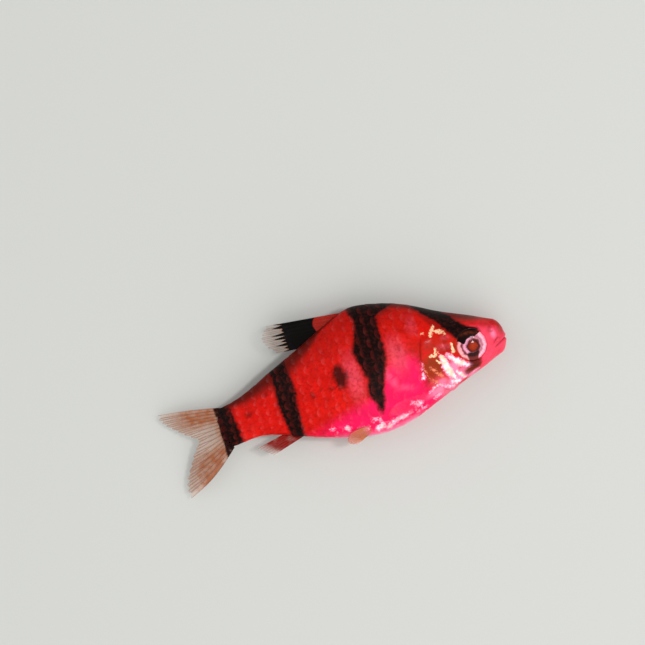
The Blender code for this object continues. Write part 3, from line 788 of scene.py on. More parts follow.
@dataclass
class Skin:
    """The one skin over head, jaw, gill covers, trunk and tail stalk, with the relief of the head."""

    around: int = 256
    snout_rings: int = 26
    head_rings: int = 122
    trunk_rings: int = 148
    tail_rings: int = 8
    head_end: float = 0.34
    inset: float = 0.07 * MM
    mouth_front: float = 0.006
    mouth_corner: Pair = (0.052, -0.020)
    nostril: Pair = (0.052, 0.036)
    gill_middle: float = -0.012
    eye_radius: float = 2.07 * MM
    orbit_reach: float = 2.5 * MM
    gill_height: float = 0.20 * MM
    rim_height: float = 0.10 * MM
    socket_depth: float = 1.0 * MM
    seat_rise: float = 0.02 * MM
    lip_ridges: Rows = ((0.10 * MM, 0.0085, 0.0064), (0.09 * MM, -0.0080, 0.0060),
                        (-0.17 * MM, 0.0, 0.0022))
    jaw_ridges: Rows = ((-0.05 * MM, 0.0, 0.0035),)
    nostril_ridges: Rows = ((0.07 * MM, 0.0085, 0.0026), (-0.26 * MM, 0.0, 0.0050))
    slit_ridges: Rows = ((-0.15 * MM, 0.0065, 0.0035),)
    plate_ridges: Rows = ((-0.06 * MM, 0.0, 0.0035),)
    seam_ridges: Rows = ((-0.04 * MM, 0.0, 0.0030),)
    cheek_ridges: Rows = ((-0.05 * MM, 1.42 * eye_radius, 0.11 * MM),)

    def ring_places(self) -> Array:
        """The u of each ring of the skin, closest together on the snout and the head."""
        quarter = np.linspace(0, math.pi / 2, self.snout_rings + 1)[:-1]
        start, end = FORM.snout_tip + FORM.snout_rounding, FORM.tail_end
        snout = start - FORM.snout_rounding * np.cos(quarter)
        head = np.linspace(start, self.head_end, self.head_rings + 1)[:-1]
        trunk = np.linspace(self.head_end, end - FORM.tail_rounding, self.trunk_rings + 1)[:-1]
        tail = end - FORM.tail_rounding * (1 - np.sin(np.linspace(0, math.pi / 2, self.tail_rings + 1)))
        return np.concatenate([snout, head, trunk, tail[:-1]])

    def mouth_level(self, u: Array) -> Array:
        """The v of the line of the mouth at u."""
        corner_u, corner_v = self.mouth_corner
        slope = (corner_v - self.mouth_front - 0.05) / (corner_u + 0.10)
        return corner_v + slope * (u - corner_u)

    def lips(self, u: Array, v: Array) -> Array:
        """Thin lips on both sides of the line of the mouth."""
        corner = self.mouth_corner[0]
        near = ramp(u, corner + 0.006, corner - 0.008)
        return near * ridges(v - self.mouth_level(u), self.lip_ridges)

    def jaw_fold(self, u: Array, v: Array) -> Array:
        """The shallow fold that runs back from the corner of the mouth."""
        along = np.clip((u - self.mouth_corner[0]) / 0.05, 0, 1)
        level = self.mouth_corner[1] - 0.026 * along
        return ramp(u, 0.046, 0.056) * ramp(u, 0.105, 0.075) * ridges(v - level, self.jaw_ridges)

    def nostrils(self, u: Array, v: Array) -> Array:
        """A pit with a low rim ahead of each eye."""
        return ridges(np.hypot(u - self.nostril[0], v - self.nostril[1]), self.nostril_ridges)

    def gill_edge(self, v: Array) -> Array:
        """The u of the gill cover's free rear edge at v."""
        off = (v - self.gill_middle) / 0.105
        lower = np.maximum(0.0, -off)
        return 0.302 - 0.030 * off**2 - 0.042 * lower**2 - 0.05 * np.maximum(0.0, lower - 0.8) ** 2

    def gill_cover(self, u: Array, v: Array) -> Array:
        """The raised gill cover, its free edge, and the fold of the plate ahead of it."""
        behind = u - self.gill_edge(v)
        raised = np.where(behind <= 0, ramp(behind, -0.045, 0.0), ramp(behind, 0.0055, 0.0))
        cover = self.gill_height * raised + ridges(behind, self.slit_ridges)
        front = u - (0.212 - 0.9 * (v + 0.01) ** 2 + 0.10 * (v + 0.01))
        folds = ridges(front, self.plate_ridges) * ramp(v, 0.06, 0.03)
        seam = v - (-0.070 + 0.35 * (u - 0.25))
        folds += ridges(seam, self.seam_ridges) * ramp(u, 0.205, 0.215) * ramp(u, 0.30, 0.28)
        return ramp(v, -0.128, -0.106) * ramp(v, 0.094, 0.064) * cover + ramp(v, -0.10, -0.07) * folds

    def throat(self, u: Array, v: Array) -> Array:
        """The folds of the gill membrane under the head."""
        fold = v - (FORM.station(u, 2) + 0.020 + 0.25 * np.maximum(0.0, u - 0.10))
        return ramp(u, 0.09, 0.12) * ramp(u, 0.25, 0.21) * ridges(fold, self.plate_ridges)

    def cheek(self, u: Array, v: Array) -> Array:
        """The ring of thin plates below the eye."""
        away = np.hypot(u - FORM.eye[0], v - FORM.eye[1]) * FORM.length
        return ramp(v, FORM.eye[1] + 0.01, FORM.eye[1] - 0.02) * ridges(away, self.cheek_ridges)

    def orbit(self, points: Array, u: Array, v: Array, side: Array) -> Array:
        """Flattens the skin round each eye, raises its rim and sinks the socket.

        Args:
            points: The skin's points.
            u: The share back of each point; not used.
            v: The share up of each point; not used.
            side: More than 0 for points of the right flank and less for the left.

        Returns:
            The new points.
        """
        shaped = points.copy()
        for which in Side:
            centre, normal = eye_seat(which)
            height = (points - centre) @ normal
            flat = points - centre - height[:, None] * normal
            radius = np.linalg.norm(flat, axis=1) / self.eye_radius
            mine = (side * which.value > 0) & (np.abs(height) < self.orbit_reach)
            rim = self.rim_height * bump(radius - 1.06, 0.10)
            seat = self.seat_rise + rim - self.socket_depth * ramp(radius, 1.0, 0.9)
            pull = np.where(mine, ramp(radius, 2.0, 1.0), 0.0)
            shaped += (pull * (seat - height))[:, None] * normal
        return shaped

    def build(self) -> bpy.types.Object:
        """Models the skin from a sphere whose rings become the body's sections.

        Returns:
            The skin, closed and smooth.
        """
        places = self.ring_places()
        rings = len(places)
        skin = modelled(bpy.ops.mesh.primitive_uv_sphere_add, segments=self.around, ring_count=rings,
                        radius=1.0)
        ball = coordinates(skin)
        ring = np.rint(np.arccos(np.clip(ball[:, 2], -1, 1)) / math.pi * rings).astype(int)
        u = np.append(places, FORM.tail_end)[ring]
        angle = np.arctan2(ball[:, 1], ball[:, 0])
        v, lateral = FORM.section(u, angle)
        move_vertices(skin, FORM.place(u, v, lateral))
        face_outwards(skin)
        relief = self.lips(u, v) + self.jaw_fold(u, v) + self.nostrils(u, v) + self.cheek(u, v)
        relief += self.gill_cover(u, v) + self.throat(u, v) - self.inset * ramp(u, 0.24, 0.32)
        points = coordinates(skin) + relief[:, None] * read(skin.data.vertex_normals, "vector")
        FORM.rest_on_floor(skin, self.orbit(points, u, v, np.cos(angle)), FORM.floor_gap)
        MARKINGS.store(skin, FORM.place(u, v, lateral))
        return skin


def eye_seat(which: Side) -> tuple[Array, Array]:
    """The point of the head's surface at the middle of an eye, and the way that the eye faces."""
    u, v, step = FORM.eye[0], FORM.eye[1], 0.02
    sign = which.value

    def spot(du: float, dv: float) -> Array:
        """A point of the flank near the eye's middle."""
        there = np.array([u + du]), np.array([v + dv])
        return FORM.place(*there, sign * FORM.flank(*there))[0]

    back_way = spot(step, 0.0) - spot(-step, 0.0)
    up_way = spot(0.0, step) - spot(0.0, -step)
    normal = np.cross(up_way, back_way) * sign
    normal /= np.linalg.norm(normal)
    if normal[2] * sign < 0:
        normal = -normal
    return spot(0.0, 0.0), normal


@dataclass
class Unrolled:
    """The skin rolled out flat: for each u, the distance round the body from its axis."""

    steps: int = 420
    angles: int = 361

    def __post_init__(self) -> None:
        """Measures the sections once."""
        self.places = np.linspace(0.10, FORM.tail_end - 0.0005, self.steps)
        self.turns = np.linspace(-math.pi, math.pi, self.angles)
        u, angle = np.meshgrid(self.places, self.turns, indexing="ij")
        v, lateral = FORM.section(u, angle)
        lengths = np.hypot(np.diff(v, axis=1) * FORM.length, np.diff(lateral, axis=1))
        self.arcs = np.pad(np.cumsum(lengths, axis=1), ((0, 0), (1, 0)))
        self.arcs -= self.arcs[:, [self.angles // 2]]

    def edges(self, u: float) -> tuple[float, float]:
        """The distances from the axis to the middle of the belly and of the back."""
        row = self.arcs[int(np.argmin(np.abs(self.places - u)))]
        return tuple(float(np.interp(turn, self.turns, row)) for turn in (-math.pi / 2, math.pi / 2))

    def angle(self, u: Array, s: Array) -> Array:
        """The section angles at distances s from the axis, at each u."""
        position = (np.clip(u, self.places[0], self.places[-1]) - self.places[0])
        position = position / (self.places[1] - self.places[0])
        low = np.minimum(position.astype(int), self.steps - 2)
        found = np.empty_like(s)
        for row in np.unique(low):
            here = low == row
            share = position[here] - row
            before, after = (np.interp(s[here], self.arcs[row + k], self.turns) for k in (0, 1))
            found[here] = mix(before, after, share)
        return found


@dataclass
class Scales:
    """The plates of one flank, set in slanting rows that overlap towards the tail."""

    side: Side
    seed: int = 11
    columns: int = 25
    rows_up: int = 12
    row_overhang: float = 0.15
    first_column: float = 0.200
    spacing: float = 0.0322
    tall_row: float = 1.72 * MM
    short_row: float = 1.08 * MM
    plate_length: float = 1.95
    plate_width: float = 1.20
    lift_front: float = -0.020 * MM
    lift_rear: float = 0.032 * MM
    crown: float = 0.007 * MM
    thickness: float = 0.016 * MM
    grid: tuple[int, int] = (6, 3)
    tint: float = 0.10
    last_root: float = 0.985
    sharp_degrees: float = 38.0
    patch: float = 0.003

    def plate(self) -> tuple[Array, Array]:
        """Models one flat plate from a grid: narrow at its root, with a round rear margin.

        Returns:
            Its points, with x across from -1 to 1 and y along from 0 to 1, and its faces.
        """
        plate = modelled(bpy.ops.mesh.primitive_grid_add, x_subdivisions=self.grid[0],
                         y_subdivisions=self.grid[1], size=2.0)
        flat = coordinates(plate)
        across, along = flat[:, 0], ((flat[:, 1] + 1) / 2) ** 0.8
        width = 0.74 + 0.26 * np.sin(0.5 * math.pi * np.clip(along * 1.7, 0, 1))
        rounded = along * (1 - 0.30 * np.abs(across) ** 2.3) + 0.06 * np.abs(across) * (1 - along)
        faces = np.array([tuple(face.vertices) for face in plate.data.polygons])
        bpy.data.objects.remove(plate)
        return np.stack([across * width, rounded], axis=1), faces

    def seats(self, unrolled: Unrolled) -> Array:
        """The place of each plate: u, the distance from the body's axis, and the row's height."""
        found = []
        for column in range(self.columns):
            u = self.first_column + column * self.spacing
            belly, back = unrolled.edges(u)
            height = mix(self.tall_row, self.short_row, float(ramp(u, 0.48, 0.9)))
            over = self.row_overhang * height
            for row in range(-self.rows_up, self.rows_up + 1):
                s = (row + 0.5 * (column % 2)) * height
                angle = unrolled.angle(np.array([u]), np.array([s]))
                v = float(FORM.section(np.array([u]), angle)[0][0])
                if belly - over < s < back + over and self.is_scaly(u, v):
                    found.append((u, s, height))
        return np.array(found)

    def is_scaly(self, u: float, v: float) -> bool:
        """Whether the body bears plates at u and v, which it does behind the gill cover."""
        head_edge = float(Skin().gill_edge(np.array([min(v, 0.06)]))[0])
        nape = 0.265 - 0.62 * max(0.0, v - 0.06)
        throat = head_edge + 0.10 * max(0.0, -0.10 - v)
        return (nape if v > 0.06 else throat) - 0.022 < u < self.last_root

    def build(self) -> bpy.types.Object:
        """Copies the plate to every seat and bends each copy to the skin.

        Returns:
            One mesh with all the plates of the flank.
        """
        flat, faces = self.plate()
        unrolled = Unrolled()
        seats = self.seats(unrolled)
        count, size = len(seats), len(flat)
        generator = np.random.default_rng(self.seed + self.side.value)
        chance = generator.random((3, count, 1))
        across, along = (np.tile(flat[:, k], (count, 1)) for k in (0, 1))
        length = self.plate_length * self.spacing * mix(0.97, 1.03, chance[0])
        u = np.minimum(seats[:, [0]] + (along - 0.5) * length, FORM.tail_end - 0.001).ravel()
        s = seats[:, [1]] + (across * 0.5 * self.plate_width + 0.02 * (chance[1] - 0.5)) * seats[:, [2]]
        angle = unrolled.angle(u, s.ravel())
        base = FORM.place(u, *FORM.section(u, angle))
        lift = mix(self.lift_front, self.lift_rear * mix(1.0, 1.25, chance[2]), along)
        lift = lift + self.crown * (1 - across**2) * along - Skin.inset
        points = base + lift.reshape(-1, 1) * self.outward(u, angle)
        centre = np.stack([seats[:, 0] / 1.1, 0.5 + 0.4 * seats[:, 1] / (14 * MM)], axis=1)
        unwrapped = centre[:, None] + (flat[None] - (0, 0.5)) * (0.5, 1.0) * self.patch
        if self.side is Side.LEFT:
            points, base = self.mirrored(points), self.mirrored(base)
        index = (faces[None] + size * np.arange(count)[:, None, None]).reshape(-1, faces.shape[1])
        tints = np.repeat(1 + self.tint * (generator.random(count) - 0.5), size)
        mesh = bpy.data.meshes.new("plates")
        mesh.from_pydata(points, [], index[:, :: -self.side.value].tolist())
        plates = bpy.data.objects.new("plates", mesh)
        bpy.context.scene.collection.objects.link(plates)
        corners = corner_vertices(plates)
        local = np.stack([across.ravel(), along.ravel()], axis=1)
        for name, values in (("OFBake", unwrapped.reshape(-1, 2)), ("plate", local)):
            mesh.uv_layers.new(name=name).data.foreach_set("uv", values[corners].ravel())
        MARKINGS.store(plates, base)
        write_colours(plates, "plate_tint", np.repeat(tints[:, None], 4, axis=1))
        add_wall(plates, self.thickness, -1.0)
        FORM.rest_on_floor(plates, coordinates(plates))
        bpy.ops.object.shade_smooth_by_angle(angle=math.radians(self.sharp_degrees))
        return plates

    def outward(self, u: Array, angle: Array) -> Array:
        """The outward normals of the skin at u and angle."""
        step, end = 1e-3, FORM.tail_end - 0.002
        u = np.minimum(u, end - step)
        ahead, behind, up, down = (
            FORM.place(u + du, *FORM.section(u + du, angle + da))
            for du, da in ((step, 0.0), (-step, 0.0), (0.0, step), (0.0, -step))
        )
        normal = np.cross(up - down, ahead - behind)
        return normal / np.maximum(1e-12, np.linalg.norm(normal, axis=1))[:, None]

    def mirrored(self, points: Array) -> Array:
        """The same points on the other flank."""
        turned = points.copy()
        turned[:, 2] = 2 * FORM.middle(FORM.shares(points)[0]) - points[:, 2]
        return turned


@dataclass(frozen=True)
class EyeFinish:
    """A clear wet cornea over a pearly iris: pale pink and dark rings round a deep red pupil.

    The strong smooth coat is the cornea, which gives the eye its two sharp glints.
    """

    name: str
    black: str = "120203"
    bar_brown: str = "54200F"
    maroon: str = "1E0206"
    low_rim: str = "7A2A24"
    front_stops: Rows = (
        (0.00, "A83004"), (0.25, "962604"), (0.35, "5A1004"), (0.40, "340A06"), (0.47, "7E3440"),
        (0.54, "CC8290"), (0.62, "B06476"), (0.70, "E294A8"), (0.79, "FFBCCA"), (0.90, "FFA2B6"),
        (0.95, "E8708A"), (1.00, "CC4058"),
    )
    tail_stops: Rows = (
        (0.00, "A83004"), (0.22, "8E2004"), (0.30, "6A0E02"), (0.355, "4A1412"), (0.42, "DC8CA8"),
        (0.51, "F4A6BC"), (0.57, "D07C92"), (0.62, "702434"), (0.68, "84343C"), (0.75, "F49CA2"),
        (0.85, "FFB6B8"), (0.94, "D87874"), (1.00, "94382E"),
    )
    fibre_count: float = 46.0
    cloud_mm: float = 0.55

    def material(self) -> bpy.types.Material:
        """Builds the finish on the eye's own ring map: x is the radius, y the turn about the middle."""
        made, node = new_finish(self.name)
        ring = node("UVMap", settings={"uv_map": "ring"})
        away, turn = node("SeparateXYZ", (ring,)).node.outputs[:2]
        place = node("TexCoord", output="Object")
        cloud = node("TexNoise", {"Vector": place, "Scale": 1 / (self.cloud_mm * MM), "Detail": 3.0})
        spokes = node("CombineXYZ", (node("Math", (turn, self.fibre_count), TIMES), away))
        fibres = node("TexNoise", {"Vector": spokes, "Scale": 2.0, "Detail": 2.0})
        uneven = node("Math", (cloud, 0.24, away), TIMES_PLUS)
        uneven = node("Math", (uneven, 0.12), MINUS)
        halves = []
        for stops in (self.front_stops, self.tail_stops):
            halves.append(node("ValToRGB", (uneven,)))
            elements = halves[-1].node.color_ramp.elements
            while len(elements) < len(stops):
                elements.new(0.5)
            for element, (position, tone) in zip(elements, stops):
                element.position = position
                element.color = linear(tone)
        marks = node("Attribute", settings={"attribute_name": "eye_marks"})
        bar, behind, low = node("SeparateColor", (marks,)).node.outputs
        colour = node("Mix", {0: behind, 6: halves[0], 7: halves[1]}, OVER, 2)
        fibrous = node("MapRange", (fibres, 0.3, 0.7, 0.72, 1.12))
        colour = node("HueSaturation", {"Value": fibrous, "Color": colour})
        bar, low = (
            node("MapRange", (node("Math", (cloud, swing, field), TIMES_PLUS), start, full))
            for swing, field, start, full in ((0.9, bar, 0.82, 1.06), (0.5, low, 0.50, 0.95))
        )
        swirl = node("MapRange", (cloud, 0.34, 0.62))
        swirl = node("Math", (swirl, marks.node.outputs["Alpha"]), TIMES)
        stripes = node("MapRange", (fibres, 0.35, 0.70, 0.0, 0.45))
        rim = node("MapRange", (away, 0.66, 0.80, 0.0, 0.75))
        ink = node("Mix", {0: swirl, 6: self.black, 7: self.bar_brown}, OVER, 2)
        deep = node("Mix", {0: stripes, 6: self.maroon, 7: self.bar_brown}, OVER, 2)
        deep = node("Mix", {0: rim, 6: deep, 7: self.low_rim}, OVER, 2)
        for cover, tone in ((bar, ink), (low, deep)):
            colour = node("Mix", {0: cover, 6: colour, 7: tone}, OVER, 2)
        return finished(made, {
            "Base Color": colour, "Roughness": 0.30, "IOR": SKIN_IOR, "Specular IOR Level": 0.04,
            "Coat Weight": 0.28, "Coat IOR": WATER_IOR, "Coat Roughness": 0.04,
        })


@dataclass
class Eye:
    """One eyeball: a flat globe with a domed front."""

    which: Side
    segments: int = 96
    rings: int = 72
    radius: float = 2.11 * MM
    dome: float = 0.46 * MM
    depth: float = 1.1 * MM
    pupil: Pair = (0.1245, 0.0025)
    sunk: float = 0.05 * MM
    lens_ridges: Rows = ((0.05 * MM, 0.0, 0.36), (-0.03 * MM, 0.46, 0.05))

    def marks(self, u: Array, v: Array) -> tuple[Array, ...]:
        """The eye's own markings at u and v.

        Returns:
            The bar above the pupil, the rear half, the dark wedge below the pupil, and the bar's swirl.
        """
        arch = v - 0.034 - 0.45 * np.maximum(0.0, 0.108 - u) + 0.016 * bump(u - 0.151, 0.010)
        du, dv = u - self.pupil[0], v - self.pupil[1]
        narrowing = 0.021 + 0.25 * (dv + 0.02) - np.abs(du - 0.005 + 0.20 * (dv + 0.02))
        below = ramp(np.hypot(du, dv), 0.014, 0.022) * ramp(dv, -0.008, -0.022)
        return (ramp(arch, -0.006, 0.006), ramp(u - FORM.eye[0], -0.013, 0.007),
                below * ramp(narrowing, -0.008, 0.008), bump(v - 0.050 - 0.20 * (u - 0.13), 0.0075))

    def build(self) -> bpy.types.Object:
        """Models the globe and sets it in its socket.

        Returns:
            The eyeball.
        """
        centre, normal = eye_seat(self.which)
        ball = modelled(bpy.ops.mesh.primitive_uv_sphere_add, segments=self.segments,
                        ring_count=self.rings, radius=1.0)
        x, y, z = coordinates(ball).T
        radial, front = np.hypot(x, y), z >= 0
        height = np.where(front, self.dome * np.abs(z) ** 1.5, self.depth * z) - self.sunk
        height = height + ridges(radial, self.lens_ridges) * front
        towards = Vector(normal).to_track_quat("Z", "Y").to_matrix()
        points = np.stack([x * self.radius, y * self.radius, height], axis=1) @ np.array(towards).T + centre
        move_vertices(ball, points)
        face_outwards(ball)
        corners = corner_vertices(ball)
        layer = ball.data.uv_layers[0]
        turn = read(layer.data, "uv", 2)[:, 0]
        u, v = FORM.shares(points)
        inner = (np.array(self.pupil) - FORM.eye) * (1 - radial)[:, None]
        off = (np.stack([u, v], axis=1) - FORM.eye - inner) * FORM.length / self.radius
        away = np.where(front, mix(np.hypot(*off.T), radial, ramp(radial, 0.6, 1.0)), 1.0)
        layer.data.foreach_set("uv", np.stack([away[corners], turn], axis=1).ravel())
        layer.name = "ring"
        write_colours(ball, "eye_marks", np.stack(self.marks(u, v), axis=1))
        return ball


@dataclass(frozen=True)
class FinFinish:
    """Thin clear skin stretched over bony rays, tinted where the pigment lies.

    It is see-through between the rays, and the floor and the flank show through it. The joints of the
    rays are drawn coarser than real ones.
    """

    name: str
    tint: str
    ray: str
    clear: str = "E2C4B4"
    dark: str = "0A0606"
    tinted_alpha: float = 0.62
    clear_alpha: float = 0.14
    ray_alpha: float = 0.55
    cloud_mm: float = 0.8
    joint_strength: float = 0.15
    cloudiness: float = 0.45

    def material(self) -> bpy.types.Material:
        """Builds the finish, which reads the fin's own UV map and its stored marks.

        Returns:
            A material whose opacity is that of one face; the fin's two faces add up.
        """
        made, node = new_finish(self.name)
        marks = node("Attribute", settings={"attribute_name": "fin_marks"})
        ray, black, tinted = node("SeparateColor", (marks,)).node.outputs
        place = node("TexCoord", output="Object")
        cloud = node("TexNoise", {"Vector": place, "Scale": 1 / (self.cloud_mm * MM), "Detail": 4.0})
        fin = node("UVMap", settings={"uv_map": "fin"})
        joints = node("TexWave", {"Vector": fin, "Scale": 9.0, "Distortion": 0.5},
                      {"bands_direction": "Y"})
        swing = node("MapRange", (cloud, 0.3, 0.7, 1 - self.cloudiness, 1.15))
        tinted = node("Math", (tinted, swing), {"operation": "MULTIPLY", "use_clamp": True})
        boned = node("Math", (ray, 0.75), TIMES)
        jointed = node("Math", (joints, boned), TIMES)
        jointed = node("Math", (jointed, self.joint_strength), TIMES)
        uneven = node("Math", (cloud, 0.5), MINUS)
        inked = node("Math", (uneven, 0.5, black), TIMES_PLUS)
        inked = node("MapRange", (inked, 0.38, 0.62))
        colour = self.clear
        for cover, tone in ((tinted, self.tint), (boned, self.ray), (jointed, self.clear),
                            (inked, self.dark)):
            colour = node("Mix", {0: cover, 6: colour, 7: tone}, OVER, 2)
        alpha = node("MapRange", (tinted, 0.0, 1.0, self.clear_alpha, self.tinted_alpha))
        for cover, most in ((ray, self.ray_alpha), (inked, 0.92)):
            alpha = node("Math", (alpha, node("Math", (cover, most), TIMES)), MOST)
        return finished(made, {
            "Base Color": colour, "Alpha": alpha,
            "Normal": node("Bump", {"Strength": 0.15, "Distance": 0.03 * MM, "Height": cloud}),
            "Roughness": 0.32, "IOR": SKIN_IOR, "Specular IOR Level": 0.06,
            "Coat Weight": 0.07, "Coat IOR": WATER_IOR, "Coat Roughness": 0.12,
        })


@dataclass
class RayedFin:
    """A fin: a thin membrane with its rays raised in both faces, branching towards the margin."""

    name: str
    nodes: tuple[str, ...]
    spot: Spot
    rays: int
    shade: Callable[[Array, Array, Array, Array], tuple[Array, Array]]
    rows: int = 60
    columns_a_ray: int = 12
    ray_thickness: float = 0.24 * MM
    membrane_thickness: float = 0.06 * MM
    branches_at: float = 0.42
    branch_again_at: float = 0.72
    notch: float = 0.035
    ray_width: float = 0.17
    raggedness: float = 0.03
    seed: int = 3

    def ray_field(self, across: Array, along: Array) -> Array:
        """How much of a ray there is at each point, from 0 on the membrane to 1 on its middle."""
        pitch = 1 / (self.rays - 1)
        width = self.ray_width * pitch * mix(1.0, 0.45, along)
        first = 0.22 * pitch * smooth((along - self.branches_at) / 0.40)
        second = 0.11 * pitch * smooth((along - self.branch_again_at) / 0.35)
        strength = np.zeros_like(across)
        for ray in range(self.rays):
            offsets = [-first - second, -first + second, first - second, first + second]
            for offset in offsets if ray else [0.0]:
                strength = np.maximum(strength, bump(across - ray * pitch - offset, width))
        return strength

    def reach(self, across: Array, along: Array) -> Array:
        """The share along the fin, drawn in between the rays and uneven at the margin."""
        pitch = 1 / (self.rays - 1)
        generator = np.random.default_rng(self.seed)
        lengths = 1 - self.raggedness * generator.random(3 * self.rays)
        own = np.interp(across, np.linspace(0, 1, 3 * self.rays), lengths)
        between_rays = 1 - np.cos(math.pi * across / pitch) ** 2
        return along * (own - self.notch * between_rays * ramp(along, 0.6, 1.0))

    def build(self, material: bpy.types.Material) -> None:
        """Models the fin from a grid, gives it its wall and dresses it.

        Args:
            material: Its finish.
        """
        fin = modelled(bpy.ops.mesh.primitive_grid_add, size=2.0, y_subdivisions=self.rows,
                       x_subdivisions=self.columns_a_ray * (self.rays - 1))
        flat = coordinates(fin)
        across, along = (flat[:, 0] + 1) / 2, (flat[:, 1] + 1) / 2
        points = self.spot(across, self.reach(across, along))
        move_vertices(fin, points)
        strength = self.ray_field(across, along)
        thin_out = mix(1.0, 0.30, ramp(along, 0.1, 1.0))
        wall = mix(self.membrane_thickness, self.ray_thickness, strength) * thin_out
        group = fin.vertex_groups.new(name="wall")
        for index, share in enumerate(wall / self.ray_thickness):
            group.add([index], float(share), "REPLACE")
        black, tinted = self.shade(across, along, *FORM.shares(points))
        write_colours(fin, "fin_marks", np.stack([strength, black, tinted, along], axis=1))
        fin.data.uv_layers[0].name = "fin"
        add_wall(fin, self.ray_thickness, 0.0, group.name)
        face_outwards(fin)
        FORM.rest_on_floor(fin, coordinates(fin))
        settle(fin, self.name, material, self.nodes)


